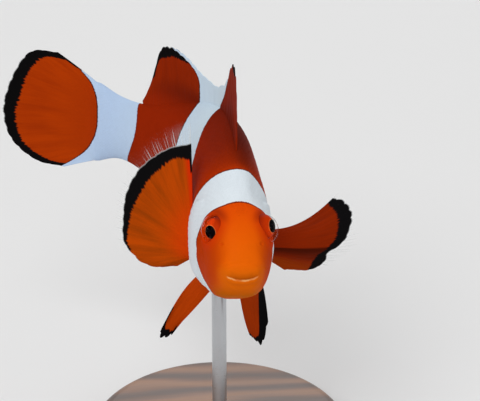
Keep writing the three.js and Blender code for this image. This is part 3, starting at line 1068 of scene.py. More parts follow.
@dataclass
class Skin:
    """The one skin of the head, trunk and tail stalk, from the lips to inside the tail fin."""

    body: Body
    features: Sequence[Mouth | Eye | Nostril | GillCover | Shoulder]
    rings: int = 270
    sides: int = 176
    depth: float = 0.16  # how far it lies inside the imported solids
    snout_share: float = 0.045  # the share of the rings that close the snout
    snout_depth: float = 1.1
    end: float = 103.4  # the last ring's station, inside the tail fin

    def __post_init__(self) -> None:
        """Spreads the rings, closest on the face."""
        first = self.snout_depth
        self.stations = Curve(((0, first), (0.1, 3.2), (0.42, 22), (0.5, 29), (0.9, 94), (1.0, self.end)))

    def ring(self, along: Array) -> tuple[Array, Array, Array]:
        """Where a ring is and how full it is.

        Args:
            along: Shares of the way from the snout's tip to the tail end.

        Returns:
            The station, and the ring's share of the body's width and of its height.
        """
        turn = np.clip(along / self.snout_share, 0, 1) * math.pi / 2
        rest = np.clip((along - self.snout_share) / (1 - self.snout_share), 0, 1)
        station = np.where(turn < math.pi / 2, 0.1 + (self.snout_depth - 0.1) * (1 - np.cos(turn)), 0.0)
        station = np.where(turn < math.pi / 2, station, self.stations(rest))
        full = np.where(turn < math.pi / 2, np.sin(turn), 1.0)
        tail = 1 - 0.78 * ease(station, 97.5, self.end)
        close = np.sqrt(np.clip((1 - rest) / 0.008, 0, 1))
        return station, full * tail * close, full * close * (1 - 0.12 * ease(station, 98.0, self.end))

    def along(self, station: Array) -> Array:
        """The share of the way along at which a ring has a station behind the snout."""
        share = np.linspace(self.snout_share, 1, 4000)
        return np.interp(station, self.ring(share)[0], share)

    def where(self, along: Array, turn: Array) -> Array:
        """Stations, distances to the left and heights of places on the plain body."""
        station, wide, high = self.ring(along)
        left, up = self.body.section(np.maximum(station, 0.4), turn)
        return np.stack([station, left * wide, up * high], axis=-1)

    def plain(self, along: Array, turn: Array) -> Array:
        """Points of the plain body in the fish's own frame."""
        return self.body.own(*np.moveaxis(self.where(along, turn), -1, 0))

    def surface(self, along: Array, turn: Array, lift: Array | float = 0.0) -> Array:
        """Points on the skin or a little over it.

        Args:
            along: Shares of the way from snout to tail.
            turn: Angles from the back.
            lift: Heights over the skin, in hundredths.

        Returns:
            The points in the stand's frame, in metres.
        """
        middle = np.clip(along, 0.003, 0.993)
        step, twist = 6e-4, 4e-3
        length = self.plain(middle + step, turn) - self.plain(middle - step, turn)
        girth = self.plain(middle, turn + twist) - self.plain(middle, turn - twist)
        normal = square_to(girth, length)
        place = np.moveaxis(self.where(along, turn), -1, 0)
        relief = sum(feature.lift(*place) for feature in self.features) - self.depth
        return self.body.world(self.plain(along, turn) + normal * (relief + lift)[..., None])

    def build(self, piece: Piece) -> None:
        """Wraps a ball's rings and sides over the body."""
        bm = bmesh.new()
        bmesh.ops.create_uvsphere(bm, u_segments=self.sides, v_segments=self.rings, radius=1.0)
        mesh = mesh_of(bm)
        ball = corners(mesh)
        along = np.arccos(np.clip(ball[:, 2], -1, 1)) / math.pi
        turn = np.arctan2(ball[:, 0], ball[:, 1])
        set_corners(mesh, self.surface(along, turn))
        carry(mesh, "place", self.where(along, turn))
        outside_out(mesh)
        piece.finish(mesh)


@dataclass
class ScaleCoat:
    """Thin overlapping scales over a length of the skin, each with its free edge to the rear."""

    skin: Skin
    eye: Eye
    start: float
    end: float
    columns: int
    tip: float = 0.14
    overlap: float = 0.88
    patch: float = 0.003
    pitch: float = 0.8  # from row to row, as a share of a scale's width
    last: float = 103.0  # station that no scale passes
    cheek: tuple[float, ...] = (17.5, -3.5, 8.5, 7.5)  # middle and half sizes of its scaled oval
    scaled_over: float = 10.5  # height and station from which the whole head has scales
    scaled_behind: float = 14.0

    def rows(self) -> Array:
        """Stations of the rows, closer together where the body is thin."""
        body, stations = self.skin.body, [self.start]
        while stations[-1] < self.end:
            at = np.array(stations[-1])
            girth = 2.7 * (body.back(at) + body.belly(at)) * 0.78 + 1.3 * body.width(at)
            stations.append(stations[-1] + self.pitch * float(girth) / self.columns)
        return np.array(stations)

    def plate(self) -> tuple[Array, list[tuple[int, ...]]]:
        """One scale: a low disc, thin at its root, as corners and faces."""
        bm = bmesh.new()
        bmesh.ops.create_circle(bm, cap_ends=True, segments=9, radius=1.0)
        bmesh.ops.scale(bm, verts=raise_copy(bm), vec=(0.97, 0.95, 1))
        bmesh.ops.recalc_face_normals(bm, faces=bm.faces)
        bm.verts.index_update()
        points = np.array([v.co for v in bm.verts])
        faces = [tuple(v.index for v in f.verts) for f in bm.faces]
        bm.free()
        return points, faces

    def build(self, piece: Piece, seed: int) -> None:
        """Lays the scales and joins them.

        Args:
            piece: The piece that they become.
            seed: Start of their small random differences.
        """
        random = np.random.default_rng(seed)
        points, faces = self.plate()
        rows = self.rows()
        pitch = np.gradient(rows)
        number = np.arange(self.columns)
        station = np.repeat(rows, self.columns)
        size = np.repeat(pitch, self.columns)
        odd = np.repeat(np.arange(len(rows)) % 2, self.columns) * 0.5
        turn = (np.tile(number, len(rows)) + odd) * math.tau / self.columns
        at = self.skin.where(self.skin.along(station), turn)
        near_eye = self.eye.offset(*at.T) - self.eye.radius - 1.4
        middle, level, long, high = self.cheek
        cheek = long * (1.0 - np.hypot((at[:, 0] - middle) / long, (at[:, 2] - level) / high))
        beyond = [cheek, at[:, 2] - self.scaled_over, at[:, 0] - self.scaled_behind]
        inside = np.minimum(np.maximum.reduce(beyond), near_eye)
        kept = inside > 0
        station, size, turn = station[kept], size[kept], turn[kept]
        grown = ease(inside[kept], -0.4, 2.2)[:, None]
        count = len(station)
        chance = random.random((count, 3))
        x, y, z = points[:, 0], points[:, 1], points[:, 2]
        reach = (size * self.overlap * (0.97 + 0.06 * chance[:, 0]))[:, None] * x
        half = math.pi / self.columns * 1.04
        narrow = 1 - 0.25 * np.clip(-x, 0, 1)
        turns = turn[:, None] - half * y * narrow + (chance[:, 1:2] - 0.5) * 0.004
        rise = -0.12 + z * (0.1 + self.tip * (0.18 + 0.41 * (x + 1))) * grown
        along = self.skin.along(np.minimum(station[:, None] + reach, self.last))
        lift = np.broadcast_to(rise, along.shape) + 0.02 * (chance[:, 2:3] - 0.5)
        mesh = bpy.data.meshes.new("piece")
        shift = np.arange(count) * len(points)
        every = [tuple(int(v + s) for v in face) for s in shift for face in faces]
        mesh.from_pydata(self.skin.surface(along, turns, lift).reshape(-1, 3).tolist(), [], every)
        carry(mesh, "place", self.skin.where(along, turns).reshape(-1, 3))
        own = np.stack(np.broadcast_arrays(x, y, chance[:, :1]), axis=-1)
        carry(mesh, "scale", own.reshape(-1, 3))
        self.unwrap(mesh, station, turn, points)
        piece.finish(mesh, smooth_to=35)

    def unwrap(self, mesh: Mesh, station: Array, turn: Array, points: Array) -> None:
        """Gives each scale a small patch at its root's place on the skin laid flat."""
        root = np.stack([0.02 + 0.96 * station / 104, 0.02 + 0.96 * (turn / math.tau % 1)], axis=-1)
        spots = root[:, None, :] + points[None, :, :2] * self.patch / 2
        index = np.empty(len(mesh.loops), np.int32)
        mesh.loops.foreach_get("vertex_index", index)
        layer = mesh.uv_layers.new(name="OFBake")
        layer.data.foreach_set("uv", spots.reshape(-1, 2)[index].astype(np.float32).ravel())


class FinSide(Enum):
    """Where a fin grows, as the sign of its distance to the fish's left."""

    MIDDLE = 0
    LEFT = 1
    RIGHT = -1


@dataclass
class Fin:
    """A fin: a membrane that rays stiffen, from inside the body to the hem."""

    CLEAR_PLACE: ClassVar[Point] = (36.0, 6.0, 0.0)  # on the flank, clear of every band

    body: Body
    table: Table
    side: FinSide
    rays: int
    sheath: float = 1.15  # half its thickness at the root
    sheath_reach: float = 0.16
    membrane: float = 0.1
    ridge: float = 0.06
    inset: float = 0.06  # how far the sheet goes on inside the body, as a share of its reach
    branches: bool = True
    ends: tuple[float, float] = (1.0, 1.0)  # how thick its first and last edges are
    notch: float = 0.02
    ripple: float = 0.2
    fold: Point | None = None  # from where to where across it steps back, and how far
    across: int = 12  # columns of faces from ray to ray
    out_rows: int = 56

    def __post_init__(self) -> None:
        """Reads the table of rays."""
        self.curves = evenly(self.table)

    def upright(self, t: Array, out: Array) -> tuple[Array, Array]:
        """Stations and heights on a fin that stands in the midline."""
        ray = np.moveaxis(self.curves(t), -1, 0)
        return ray[0] + (ray[2] - ray[0]) * out, ray[1] + (ray[3] - ray[1]) * out

    def middle(self, t: Array, out: Array) -> Array:
        """Points of the fin's middle sheet in the fish's own frame."""
        if self.side is FinSide.MIDDLE:
            station, up = self.upright(t, out)
            return self.body.own(station, np.zeros_like(station), up)
        ray = np.moveaxis(self.curves(t), -1, 0)
        side = self.side.value
        root = self.body.own(ray[0], side * (self.body.flank(ray[0], ray[1]) - 1.0), ray[1])
        sag = ray[5] * 4 * out * (1 - out)
        return root + np.stack([side * ray[2] * out, ray[3] * out, ray[4] * out - sag], axis=-1)

    def where(self, t: Array, out: Array) -> Array:
        """Stations, distances to the left and heights that the bands follow."""
        if self.side is FinSide.MIDDLE:
            station, up = self.upright(t, out)
            return np.stack([station, np.full_like(out, 0.5), up], axis=-1)
        return np.stack([np.full_like(out, value) for value in self.CLEAR_PLACE], axis=-1)

    def half_thickness(self, t: Array, out: Array) -> Array:
        """Half the fin's thickness: membrane, rays that branch toward the hem, and the fleshy root."""
        phase = t * (self.rays - 1)
        near = np.abs(phase - np.round(phase))
        split = 0.21 * ease(out, 0.4, 0.95) if self.branches else 0.0
        ray = bump(near - split, 0.12) * self.ridge * (1 - 0.7 * out)
        edge = self.ends[0] * bump(phase, 0.3) + self.ends[1] * bump(self.rays - 1 - phase, 0.3)
        edge = 0.1 * edge * (1 - 0.6 * out)
        near_end = np.maximum(self.ends[0] * (1 - 2 * t), self.ends[1] * (2 * t - 1))
        root = self.sheath * np.exp(-np.maximum(out, 0) / self.sheath_reach)
        root = root * np.sqrt(1 - np.maximum(near_end, 0) ** 4)
        return self.membrane * (1 - 0.4 * out) + ray + edge + root

    def surface(self, t: Array, out: Array, face: Array) -> Array:
        """Points on either face of the fin.

        Args:
            t: Places from the first ray at 0 to the last at 1.
            out: Places from the root at 0 to the hem at 1.
            face: 1 for one face and -1 for the other.

        Returns:
            The points in the stand's frame, in metres.
        """
        phase = t * (self.rays - 1)
        between = 2 * np.abs(phase - np.round(phase))
        cut = 1 - self.notch * between**2 * ease(out, 0.7, 1.0)
        step = 1e-3
        near_t, near_out = np.clip(t, 0, 1 - step), np.minimum(out, 1 - step)
        here = self.middle(near_t, near_out)
        onward = self.middle(near_t + step, near_out) - here
        normal = square_to(onward, self.middle(near_t, near_out + step) - here)
        wave = self.ripple * np.sin(math.tau * (1.4 * t + 0.15)) * out**2
        if self.fold:
            start, end, depth = self.fold
            wave = wave + depth * ease(t, start, end) * ease(t, 1.0, end) * ease(out, 0.0, 0.4)
        offset = face * self.half_thickness(t, out) + wave
        return self.body.world(self.middle(t, out * cut) + normal * offset[..., None])

    def build(self, piece: Piece) -> None:
        """Shapes a slab of two gridded faces into the fin."""
        columns = (self.rays - 1) * self.across
        bm = bmesh.new()
        bmesh.ops.create_grid(bm, x_segments=columns, y_segments=self.out_rows, size=1.0)
        raise_copy(bm)
        mesh = mesh_of(bm)
        sheet = corners(mesh)
        t, out = (np.clip(sheet[:, i] * 0.5 + 0.5, 0, 1) for i in (0, 1))
        out = out * (1 + self.inset) - self.inset
        face = np.where(sheet[:, 2] > 0.5, 1.0, -1.0)
        set_corners(mesh, self.surface(t, out, face))
        carry(mesh, "place", self.where(t, out))
        carry(mesh, "ray", np.stack([t * (self.rays - 1), out, t], axis=-1))
        outside_out(mesh)
        piece.finish(mesh)


@dataclass(frozen=True)
class Sight:
    """One eye's ball and the cornea over it."""

    name: str
    side: int  # 1 on the left and -1 on the right
    centre: Point  # of the ball: station, distance from the midline, height
    gaze: tuple[float, float]  # degrees forward and up
    deep: float  # depth and radius of the cornea
    wide: float
    bend: float  # the cornea's index of refraction: the lower, the fainter its outline


@dataclass
class EyePieces:
    """Both eyes: each a round ball with a painted iris under a clear cornea."""

    body: Body
    eye: Eye
    finish: EyeFinish
    ball_radius: float = 3.3
    lens: float = 0.16
    wall: float = 0.08
    rings: int = 72
    sights: Sequence[Sight] = (
        Sight("left", 1, (11.4, 5.3, 7.8), (29.0, 20.0), deep=2.88, wide=3.5, bend=1.05),
        Sight("right", -1, (11.2, 4.95, 7.25), (42.0, 6.0), deep=2.3, wide=3.3, bend=1.015),
    )

    def shape(
        self, piece: Piece, side: int, centre: Point, axes: Array, sizes: Array, wall: float = 0.0
    ) -> None:
        """Makes a ball with its pole on the eye's axis.

        Args:
            piece: The piece that it becomes.
            side: 1 for the left eye and -1 for the right.
            centre: Its centre as station, distance from the midline and height.
            axes: Rows of its own axes: outward, rearward and upward.
            sizes: Its half sizes along the axes, and how far the lens bulges over it.
            wall: How thick its shell is, or 0 for a full ball.
        """
        bm = bmesh.new()
        for _ in range(2 if wall else 1):
            bmesh.ops.create_uvsphere(bm, u_segments=self.rings, v_segments=self.rings, radius=1.0)
        mesh = mesh_of(bm)
        ball = corners(mesh)
        if wall:
            shell = np.where(np.arange(len(ball)) * 2 < len(ball), 0.0, wall)
            sizes = sizes[:, None] - shell * [[1], [1], [1], [0]]
        across = np.hypot(ball[:, 0], ball[:, 1]) * sizes[1]
        outward = ball[:, 2] * sizes[0] + sizes[3] * bump(across, self.finish.pupil * 0.9) * (ball[:, 2] > 0)
        local = np.stack([outward, ball[:, 0] * sizes[1], ball[:, 1] * sizes[2]], axis=-1) @ axes
        left = side * (centre[1] + local[:, 0])
        set_corners(mesh, self.body.place(centre[0] + local[:, 1], left, centre[2] + local[:, 2]))
        around = np.arctan2(ball[:, 1], ball[:, 0])
        across = np.where(ball[:, 2] > 0, across, sizes[1])
        carry(mesh, "eye", np.stack([across, np.sin(around), np.cos(around)], axis=-1))
        outside_out(mesh, hollow=wall > 0)
        piece.finish(mesh)

    def build(self) -> None:
        """Builds the four pieces."""
        ball = self.finish.ball()
        eye, radius = self.eye, self.ball_radius
        for sight in self.sights:
            painted = Piece(f"eyeball_{sight.name}", ball, "eye_black", (f"eye_{sight.name}",))
            sizes = np.array([radius, radius, radius, self.lens])
            self.shape(painted, sight.side, sight.centre, eye.frame(sight.gaze), sizes)
            name = f"cornea_{sight.name}"
            cornea = Piece(name, self.finish.cornea(name, sight.bend), "eye_black")
            sizes = np.array([sight.deep, sight.wide, sight.wide, 0.0])
            self.shape(cornea, sight.side, (eye.station, eye.left, eye.up), eye.frame(), sizes, self.wall)


@dataclass
class Stand:
    """A turned walnut base with a steel rod and the small cradle under the belly."""

    body: Body
    base_radius: float = 0.023
    base_height: float = 0.007
    base_round: float = 0.0022
    base_chamfer: float = 0.0006
    rod_radius: float = 0.00125
    foot_radius: float = 0.004
    foot_height: float = 0.0024
    foot_round: float = 0.0008
    foot_hollow: float = 0.0012
    cradle_radius: float = 0.0026
    cradle_foot: float = 0.00165
    cradle_height: float = 0.005
    cradle_round: float = 0.0004
    sunk: float = 0.0019
    gap: float = 0.0003

    def build_base(self) -> None:
        """Turns the base, with a round over its top edge and a small chamfer under it."""
        bm = bmesh.new()
        bmesh.ops.create_cone(
            bm, cap_ends=True, segments=144, radius1=self.base_radius, radius2=self.base_radius,
            depth=self.base_height, matrix=Matrix.Translation((0, 0, self.base_height / 2)),
        )  # fmt: skip
        for level, offset, steps in ((self.base_height, self.base_round, 8), (0.0, self.base_chamfer, 1)):
            rim = [e for e in bm.edges if all(abs(v.co.z - level) < 1e-7 for v in e.verts)]
            bmesh.ops.bevel(
                bm, geom=rim, offset=offset, affect="EDGES", segments=steps, profile=0.5, material=-1
            )
        base = Piece("turned_base", WalnutFinish().material(), "stand_walnut", ("stand_base",))
        base.finish(mesh_of(bm), smooth_to=30)

    def turned(self, outline: Sequence[tuple[float, float]]) -> Mesh:
        """Spins an outline of radius and height round Z into a closed solid."""
        bm = bmesh.new()
        line = [bm.verts.new((radius, 0, height)) for radius, height in outline]
        edges = [bm.edges.new(pair) for pair in zip(line, line[1:])]
        bmesh.ops.spin(
            bm, geom=[*line, *edges], axis=(0, 0, 1), cent=(0, 0, 0), angle=math.tau, steps=64, use_merge=True
        )
        bmesh.ops.remove_doubles(bm, verts=bm.verts, dist=1e-6)
        bmesh.ops.recalc_face_normals(bm, faces=bm.faces)
        return mesh_of(bm)

    @staticmethod
    def rounded(radius: float, height: float, size: float, steps: int) -> list[tuple[float, float]]:
        """Points of a quarter round from the side of a disc to its top."""
        angles = [math.pi / 2 * i / steps for i in range(steps + 1)]
        return [(radius - size + size * math.cos(a), height - size + size * math.sin(a)) for a in angles]

    def build_steel(self) -> None:
        """Turns the rod with its foot and the cradle that it carries."""
        belly = self.body.place(HELD_AT, 0.0, -self.body.belly(HELD_AT))
        cradle_from = float(belly[2]) + self.sunk - self.cradle_height
        foot = self.base_height + self.gap * 0.2
        steel = SteelFinish().material()
        rod = [(0.0, foot), (self.foot_radius, foot)]
        top = foot + self.foot_height
        rod += self.rounded(self.foot_radius, top, self.foot_round, 6)
        rod += self.fillet(self.rod_radius, top, self.foot_hollow, 6)
        rod += [(self.rod_radius, cradle_from), (0.0, cradle_from)]
        Piece("steel_rod", steel, "stand_steel", ("stand_rod",)).finish(self.turned(rod), smooth_to=40)
        half = cradle_from + self.cradle_height / 2
        cup = [(0.0, cradle_from), (self.cradle_foot, cradle_from)]
        cup += [(self.cradle_radius - 0.0002, half - 0.0002), (self.cradle_radius, half + 0.0003)]
        rim = cradle_from + self.cradle_height
        cup += self.rounded(self.cradle_radius, rim, self.cradle_round, 4)
        cup += [(0.0, rim)]
        Piece("steel_cradle", steel, "stand_steel", ("stand_cradle",)).finish(self.turned(cup), smooth_to=40)

    @staticmethod
    def fillet(radius: float, height: float, size: float, steps: int) -> list[tuple[float, float]]:
        """Points of the hollow curve from a flat top up to a rod."""
        angles = [math.pi / 2 * i / steps for i in range(steps + 1)]
        return [(radius + size - size * math.sin(a), height + size - size * math.cos(a)) for a in angles]


@dataclass
class FinSet:
    """The fish's nine fins, each from its table of rays from the first to the last."""

    body: Body
    finishes: Finishes
    no_hem: Table = ((0, 1.3), (1, 1.3))

    def plan(self, name: str, table: Table, side: FinSide, rays: int, look: FinFinish, **sizes: Any) -> None:
        """Builds one fin.

        Args:
            name: The fin's name.
            table: Its rays.
            side: Where it grows.
            rays: How many rays it has.
            look: Its finish.
            sizes: Sizes of the fin that differ from the usual ones.
        """
        material = look.material(f"membrane_{name}", self.finishes)
        fin = Fin(self.body, table, side, rays, **sizes)
        fin.build(Piece(f"rayed_fin_{name}", material, "skin_red_orange", (f"fin_{name}",)))

    def build(self) -> None:
        """Builds the median fins and then the paired ones."""
        self.build_dorsals()
        self.build_rear()
        self.build_pectorals()
        self.build_pelvics()

    def build_dorsals(self) -> None:
        """Builds the back's spiny and soft fin; rays are root and tip stations and heights."""
        spines = (
            (27, 17, 28.5, 23.5), (31.5, 18, 33.5, 31), (36, 19, 39, 36.6),
            (41, 19.5, 43.5, 36.4), (47, 19, 48.5, 29.6), (54, 18, 55.2, 25.9),
        )  # fmt: skip
        look = FinFinish(
            root=(138, 34, 4), ground=(134, 33, 5), shade=(104, 25, 6), banded=True, streaks=0.35,
            ragged=0.03,
            dark_from=((0, 1.1), (0.34, 1.1), (0.4, 0.93), (0.5, 0.93), (0.58, 0.985), (0.75, 1.1), (1, 1.1)),
            clear_from=self.no_hem,
        )  # fmt: skip
        self.plan(
            "dorsal_spiny", spines, FinSide.MIDDLE, 10, look, sheath=0.67, sheath_reach=0.28, ridge=0.08,
            branches=False, ends=(1.0, 0.0), notch=0.06, ripple=0.0, across=16,
        )  # fmt: skip
        rays = (
            (53.85, 17.5, 55.05, 25.9), (60, 16, 62.2, 26.8), (66, 14, 69, 29.2),
            (72, 12, 75.3, 30), (78, 10.5, 79.6, 26.5), (83.5, 9, 85, 13),
        )  # fmt: skip
        look = FinFinish(
            root=(146, 36, 4), ground=(144, 38, 4), shade=(112, 28, 5), banded=True, streaks=0.35, hair=0.06,
            dark_from=(
                (0, 1.1), (0.35, 0.93), (0.44, 0.88), (0.58, 0.85), (0.7, 0.83), (0.76, 0.86),
                (0.81, 0.82), (0.86, 0.7), (0.89, 1.1), (1, 1.1),
            ),
            clear_from=(
                (0, 1.1), (0.58, 0.98), (0.78, 0.97), (0.83, 0.86), (0.88, 0.73), (0.93, 0.66), (1, 0.62),
            ),
        )  # fmt: skip
        self.plan(
            "dorsal_soft", rays, FinSide.MIDDLE, 15, look, sheath=0.67, sheath_reach=0.28, ridge=0.08,
            ends=(0.0, 1.0), ripple=0.0,
        )  # fmt: skip

    def build_rear(self) -> None:
        """Builds the anal and the tail fin; rays are root and tip stations and heights."""
        rays = (
            (63, -11, 64.5, -20), (68, -9.5, 71, -24.5), (73, -8, 77, -25),
            (78, -6.5, 81.5, -21), (82.5, -6, 85, -11.5),
        )  # fmt: skip
        look = FinFinish(
            root=(150, 40, 4), ground=(158, 46, 4), shade=(122, 32, 5), banded=True, streaks=0.35,
            dark_from=((0, 0.9), (0.2, 0.8), (0.5, 0.78), (0.75, 0.74), (0.9, 0.6), (1, 0.5)),
            clear_from=((0, 1.1), (0.3, 0.97), (0.7, 0.95), (0.9, 0.86), (1, 0.8)), first_dark=0.35,
        )  # fmt: skip
        self.plan("anal", rays, FinSide.MIDDLE, 13, look, sheath=0.67, sheath_reach=0.24, ripple=0.12)
        rays = (
            (100.5, 12.8, 111.5, 19.2), (100.5, 9, 119, 18.6), (100.5, 5, 124.5, 11.2),
            (100.5, 0.9, 126.6, 1.2), (100.5, -3.2, 124, -7.8), (100.5, -7.2, 117, -13.6),
            (100.5, -10.8, 109, -14.4),
        )  # fmt: skip
        look = FinFinish(
            root=(168, 52, 4), ground=(180, 59, 4), shade=(140, 38, 4), banded=True, fleshy=0.06, streaks=0.5,
            ragged=0.065, hair=0.06,
            dark_from=(
                (0, 0.7), (0.1, 0.81), (0.28, 0.84), (0.41, 0.83), (0.5, 0.86), (0.61, 0.88),
                (0.72, 0.89), (0.83, 0.85), (0.94, 0.8), (1, 0.7),
            ),
            clear_from=(
                (0, 1.1), (0.2, 1.0), (0.28, 0.98), (0.38, 0.975), (0.46, 0.985), (0.6, 0.995), (1, 1.1),
            ),
            first_dark=0.45, last_dark=0.45,
        )  # fmt: skip
        self.plan(
            "caudal", rays, FinSide.MIDDLE, 17, look, sheath=0.95, sheath_reach=0.13, ridge=0.03, inset=0.12,
            notch=0.012, ripple=0.1, across=11,
        )  # fmt: skip

    def build_pectorals(self) -> None:
        """Builds the fins behind the gill covers; rays are roots, then reach outward, rearward and upward."""
        rays = (
            (27.5, -0.6, 1, 8.2, 26.1, 0), (27.4, -2, 8, 9.8, 24.5, 0), (27.3, -3.5, 14.5, 9.4, 19.8, 0),
            (27.2, -4.9, 19.3, 7.7, 12.9, 0), (27.4, -6.2, 20.3, 6.5, 6.3, 0),
            (27.6, -7.2, 18.8, 3.9, 0.3, 0), (27.9, -8.1, 10.9, 2.2, -4.3, 0),
            (28.2, -8.8, 3.8, 2.4, -3.9, 0),
        )  # fmt: skip
        look = FinFinish(
            root=(204, 60, 3), ground=(186, 70, 4), shade=(128, 54, 5), streaks=0.7, hair=0.26, milky=0.12,
            leading=(206, 46, 4), first_dark=0.5,
            dark_from=(
                (0, 0.6), (0.04, 0.64), (0.12, 0.68), (0.22, 0.69), (0.31, 0.71), (0.39, 0.715),
                (0.49, 0.745), (0.6, 0.785), (0.7, 0.845), (0.75, 0.895), (0.78, 1.1), (1, 1.1),
            ),
            clear_from=(
                (0, 0.76), (0.16, 0.79), (0.27, 0.83), (0.33, 0.85), (0.42, 0.85), (0.52, 0.84), (0.63, 0.86),
                (0.76, 0.92), (0.84, 1.02), (1, 1.1),
            ),
        )  # fmt: skip
        self.plan("pectoral_right", rays, FinSide.RIGHT, 17, look, ripple=0.25)
        rays = (
            (27.5, -0.6, 21.2, 16.6, 2.6, 3.3), (27.4, -2.6, 25.3, 10.7, 1.7, 2.4),
            (27.2, -4.6, 25.4, 5.1, -1.2, 1.2), (27.4, -6.4, 21.1, 5.5, -5.4, 0.5),
            (27.8, -7.8, 13.9, 6.4, -8.6, 0), (28.2, -8.8, 6.1, 3.8, -5.8, 0),
        )  # fmt: skip
        # Painted shade: the left pectoral's colours are darker than the right one's, as for the fin on the
        # side away from the light.
        look = FinFinish(
            root=(134, 34, 4), ground=(136, 37, 4), shade=(100, 26, 5), fold=(0.44, 0.72, 0.85), hair=0.2,
            dark_from=(
                (0, 0.81), (0.08, 0.81), (0.18, 0.77), (0.29, 0.72), (0.37, 0.69), (0.43, 0.65), (0.47, 0.62),
                (0.52, 0.59), (0.62, 0.63), (0.68, 0.68), (0.73, 0.76), (0.78, 0.84), (0.83, 1.1), (1, 1.1),
            ),
            clear_from=(
                (0, 0.88), (0.05, 0.93), (0.14, 0.93), (0.24, 0.89), (0.31, 0.84), (0.39, 0.8),
                (0.44, 0.75), (0.49, 0.68), (0.62, 0.78), (0.68, 0.83), (0.72, 0.86), (0.81, 0.88),
                (0.88, 0.87), (1, 1.0),
            ),
        )  # fmt: skip
        self.plan("pectoral_left", rays, FinSide.LEFT, 17, look, ripple=0.0, fold=(0.4, 0.47, 0.7))

    def build_pelvics(self) -> None:
        """Builds the fins under the chest; rays are roots, then reach outward, rearward and upward."""
        rays = (
            (29.5, -14.5, 7, 6, -16.6, -1.9), (29.5, -15.8, 9.3, 9, -21.5, -1.6),
            (29.5, -16.9, 8.2, 9, -20.6, 0), (29.7, -17.5, 8.4, 7, -16.4, 0.4),
        )  # fmt: skip
        look = FinFinish(
            root=(186, 62, 4), ground=(182, 62, 4), shade=(146, 46, 4), streaks=0.4,
            dark_from=((0, 0.8), (0.2, 0.86), (0.5, 0.88), (0.7, 0.9), (1, 0.95)), clear_from=self.no_hem,
        )  # fmt: skip
        self.plan("pelvic_right", rays, FinSide.RIGHT, 6, look, notch=0.04, across=20, sheath_reach=0.2)
        rays = (
            (29.5, -13.9, 4.9, 5, -17, -2.8), (29.5, -15.6, 5.1, 6, -22.9, -0.8),
            (29.5, -17.1, 4.6, 5, -19.8, 0.8), (29.7, -17.55, 4.6, 3, -16.6, 1.5),
        )  # fmt: skip
        look = FinFinish(
            root=(170, 54, 4), ground=(164, 52, 4), shade=(128, 38, 4), streaks=0.4,
            dark_from=((0, 0.05), (0.15, 0.2), (0.24, 0.4), (0.32, 0.6), (0.42, 0.83), (0.6, 0.9), (1, 0.93)),
            clear_from=((0, 1.1), (0.5, 0.98), (0.8, 0.96), (1, 1.1)),
        )  # fmt: skip
        self.plan("pelvic_left", rays, FinSide.LEFT, 6, look, notch=0.04, across=20, sheath_reach=0.2)


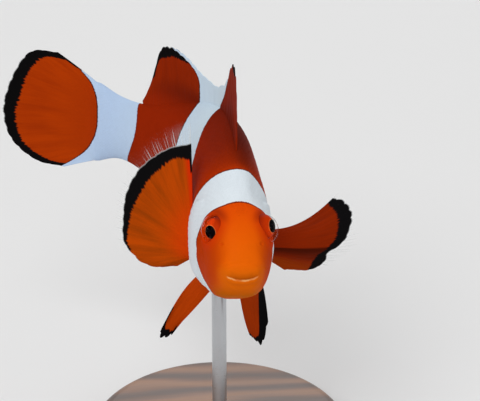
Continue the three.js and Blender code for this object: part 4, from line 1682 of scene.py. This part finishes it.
@dataclass
class Studio:
    """A pale floor, soft light and the camera."""

    floor_tone: Colour = (232, 232, 232)
    ambient: float = 0.42
    camera_at: Point = (-0.0401, -0.28785, 0.19446)
    looking: Point = (0.13463, 0.88656, -0.4426)
    lens: float = 146.4
    middle: Point = (0.0, -0.005, 0.05)

    def build(self) -> None:
        """Builds the stage."""
        self.lay_floor()
        self.light_world()
        self.lamp("key", (-0.32, -0.55, 0.75), 0.55, 4.7)
        self.lamp("fill", (0.55, -0.45, 0.35), 0.6, 0.5)
        self.lamp("back", (0.15, 0.6, 0.6), 0.5, 1.8)
        self.set_camera()
        bpy.context.scene.view_settings.view_transform = "Standard"

    def lay_floor(self) -> None:
        """Lays the plain floor."""
        bm = bmesh.new()
        bmesh.ops.create_grid(bm, x_segments=1, y_segments=1, size=8.0)
        mesh = mesh_of(bm)
        material, net, shader = new_material("pale_floor")
        net.wire(shader, Base_Color=linear(self.floor_tone), Roughness=0.7)
        mesh.materials.append(material)
        floor = add_object("floor", mesh)

    def light_world(self) -> None:
        """Makes the world white to the camera and to reflections, and softer to everything else."""
        world = bpy.data.worlds.new("soft_white")
        world.use_nodes = True
        bpy.context.scene.world = world
        net = Net(world.node_tree)
        ray = net.add("LightPath").outputs
        seen = net.most(*(ray[f"Is {kind} Ray"] for kind in ("Camera", "Transmission", "Glossy")))
        strength = net.line(seen, 1.0 - self.ambient, self.ambient)
        net.wire(world.node_tree.nodes["Background"], Color=PLAIN_WHITE, Strength=strength)

    def lamp(self, name: str, place: Point, size: float, power: float) -> None:
        """Adds a soft lamp that faces the model.

        Args:
            name: Its name.
            place: Where it stands, in metres.
            size: The side of its square, in metres.
            power: Its power in watts.
        """
        light = bpy.data.lights.new(name, "AREA")
        light.shape, light.size, light.energy = "SQUARE", size, power
        holder = add_object(name, light)
        holder.location = place
        holder.rotation_euler = (Vector(self.middle) - Vector(place)).to_track_quat("-Z", "Y").to_euler()

    def set_camera(self) -> None:
        """Places the camera before the fish, to its right and above it."""
        lens = bpy.data.cameras.new("camera")
        lens.lens, lens.sensor_width, lens.clip_start, lens.clip_end = self.lens, 36.0, 0.01, 100.0
        camera = add_object("camera", lens)
        camera.location = self.camera_at
        camera.rotation_euler = Vector(self.looking).to_track_quat("-Z", "Y").to_euler()
        bpy.context.scene.camera = camera


def main() -> None:
    """Builds the model and the studio."""
    logging.basicConfig(level=logging.INFO, format="%(message)s")
    body, mouth, eye = Body(), Mouth(), Eye()
    finishes = Finishes(Palette(), Bands(), eye, mouth)
    skin = Skin(body, (mouth, eye, Nostril(), GillCover(), Shoulder()))
    flesh = (
        "head", "lower_jaw", "gill_cover_left", "gill_cover_right", "trunk_front", "trunk_rear", "tail_stalk",
    )  # fmt: skip
    skin.build(Piece("body_skin", SkinFinish(finishes).material("painted_skin"), "skin_orange", flesh))
    scaly = SkinFinish(finishes, scaled=True).material("painted_scales")
    ScaleCoat(skin, eye, 8.0, 27.8, 84).build(Piece("scales_head", scaly, "skin_orange"), seed=11)
    ScaleCoat(skin, eye, 27.8, 101.5, 60).build(Piece("scales_body", scaly, "skin_red_orange"), seed=12)
    FinSet(body, finishes).build()
    EyePieces(body, eye, EyeFinish()).build()
    stand = Stand(body)
    stand.build_base()
    stand.build_steel()
    Studio().build()


if __name__ == "__main__":
    main()
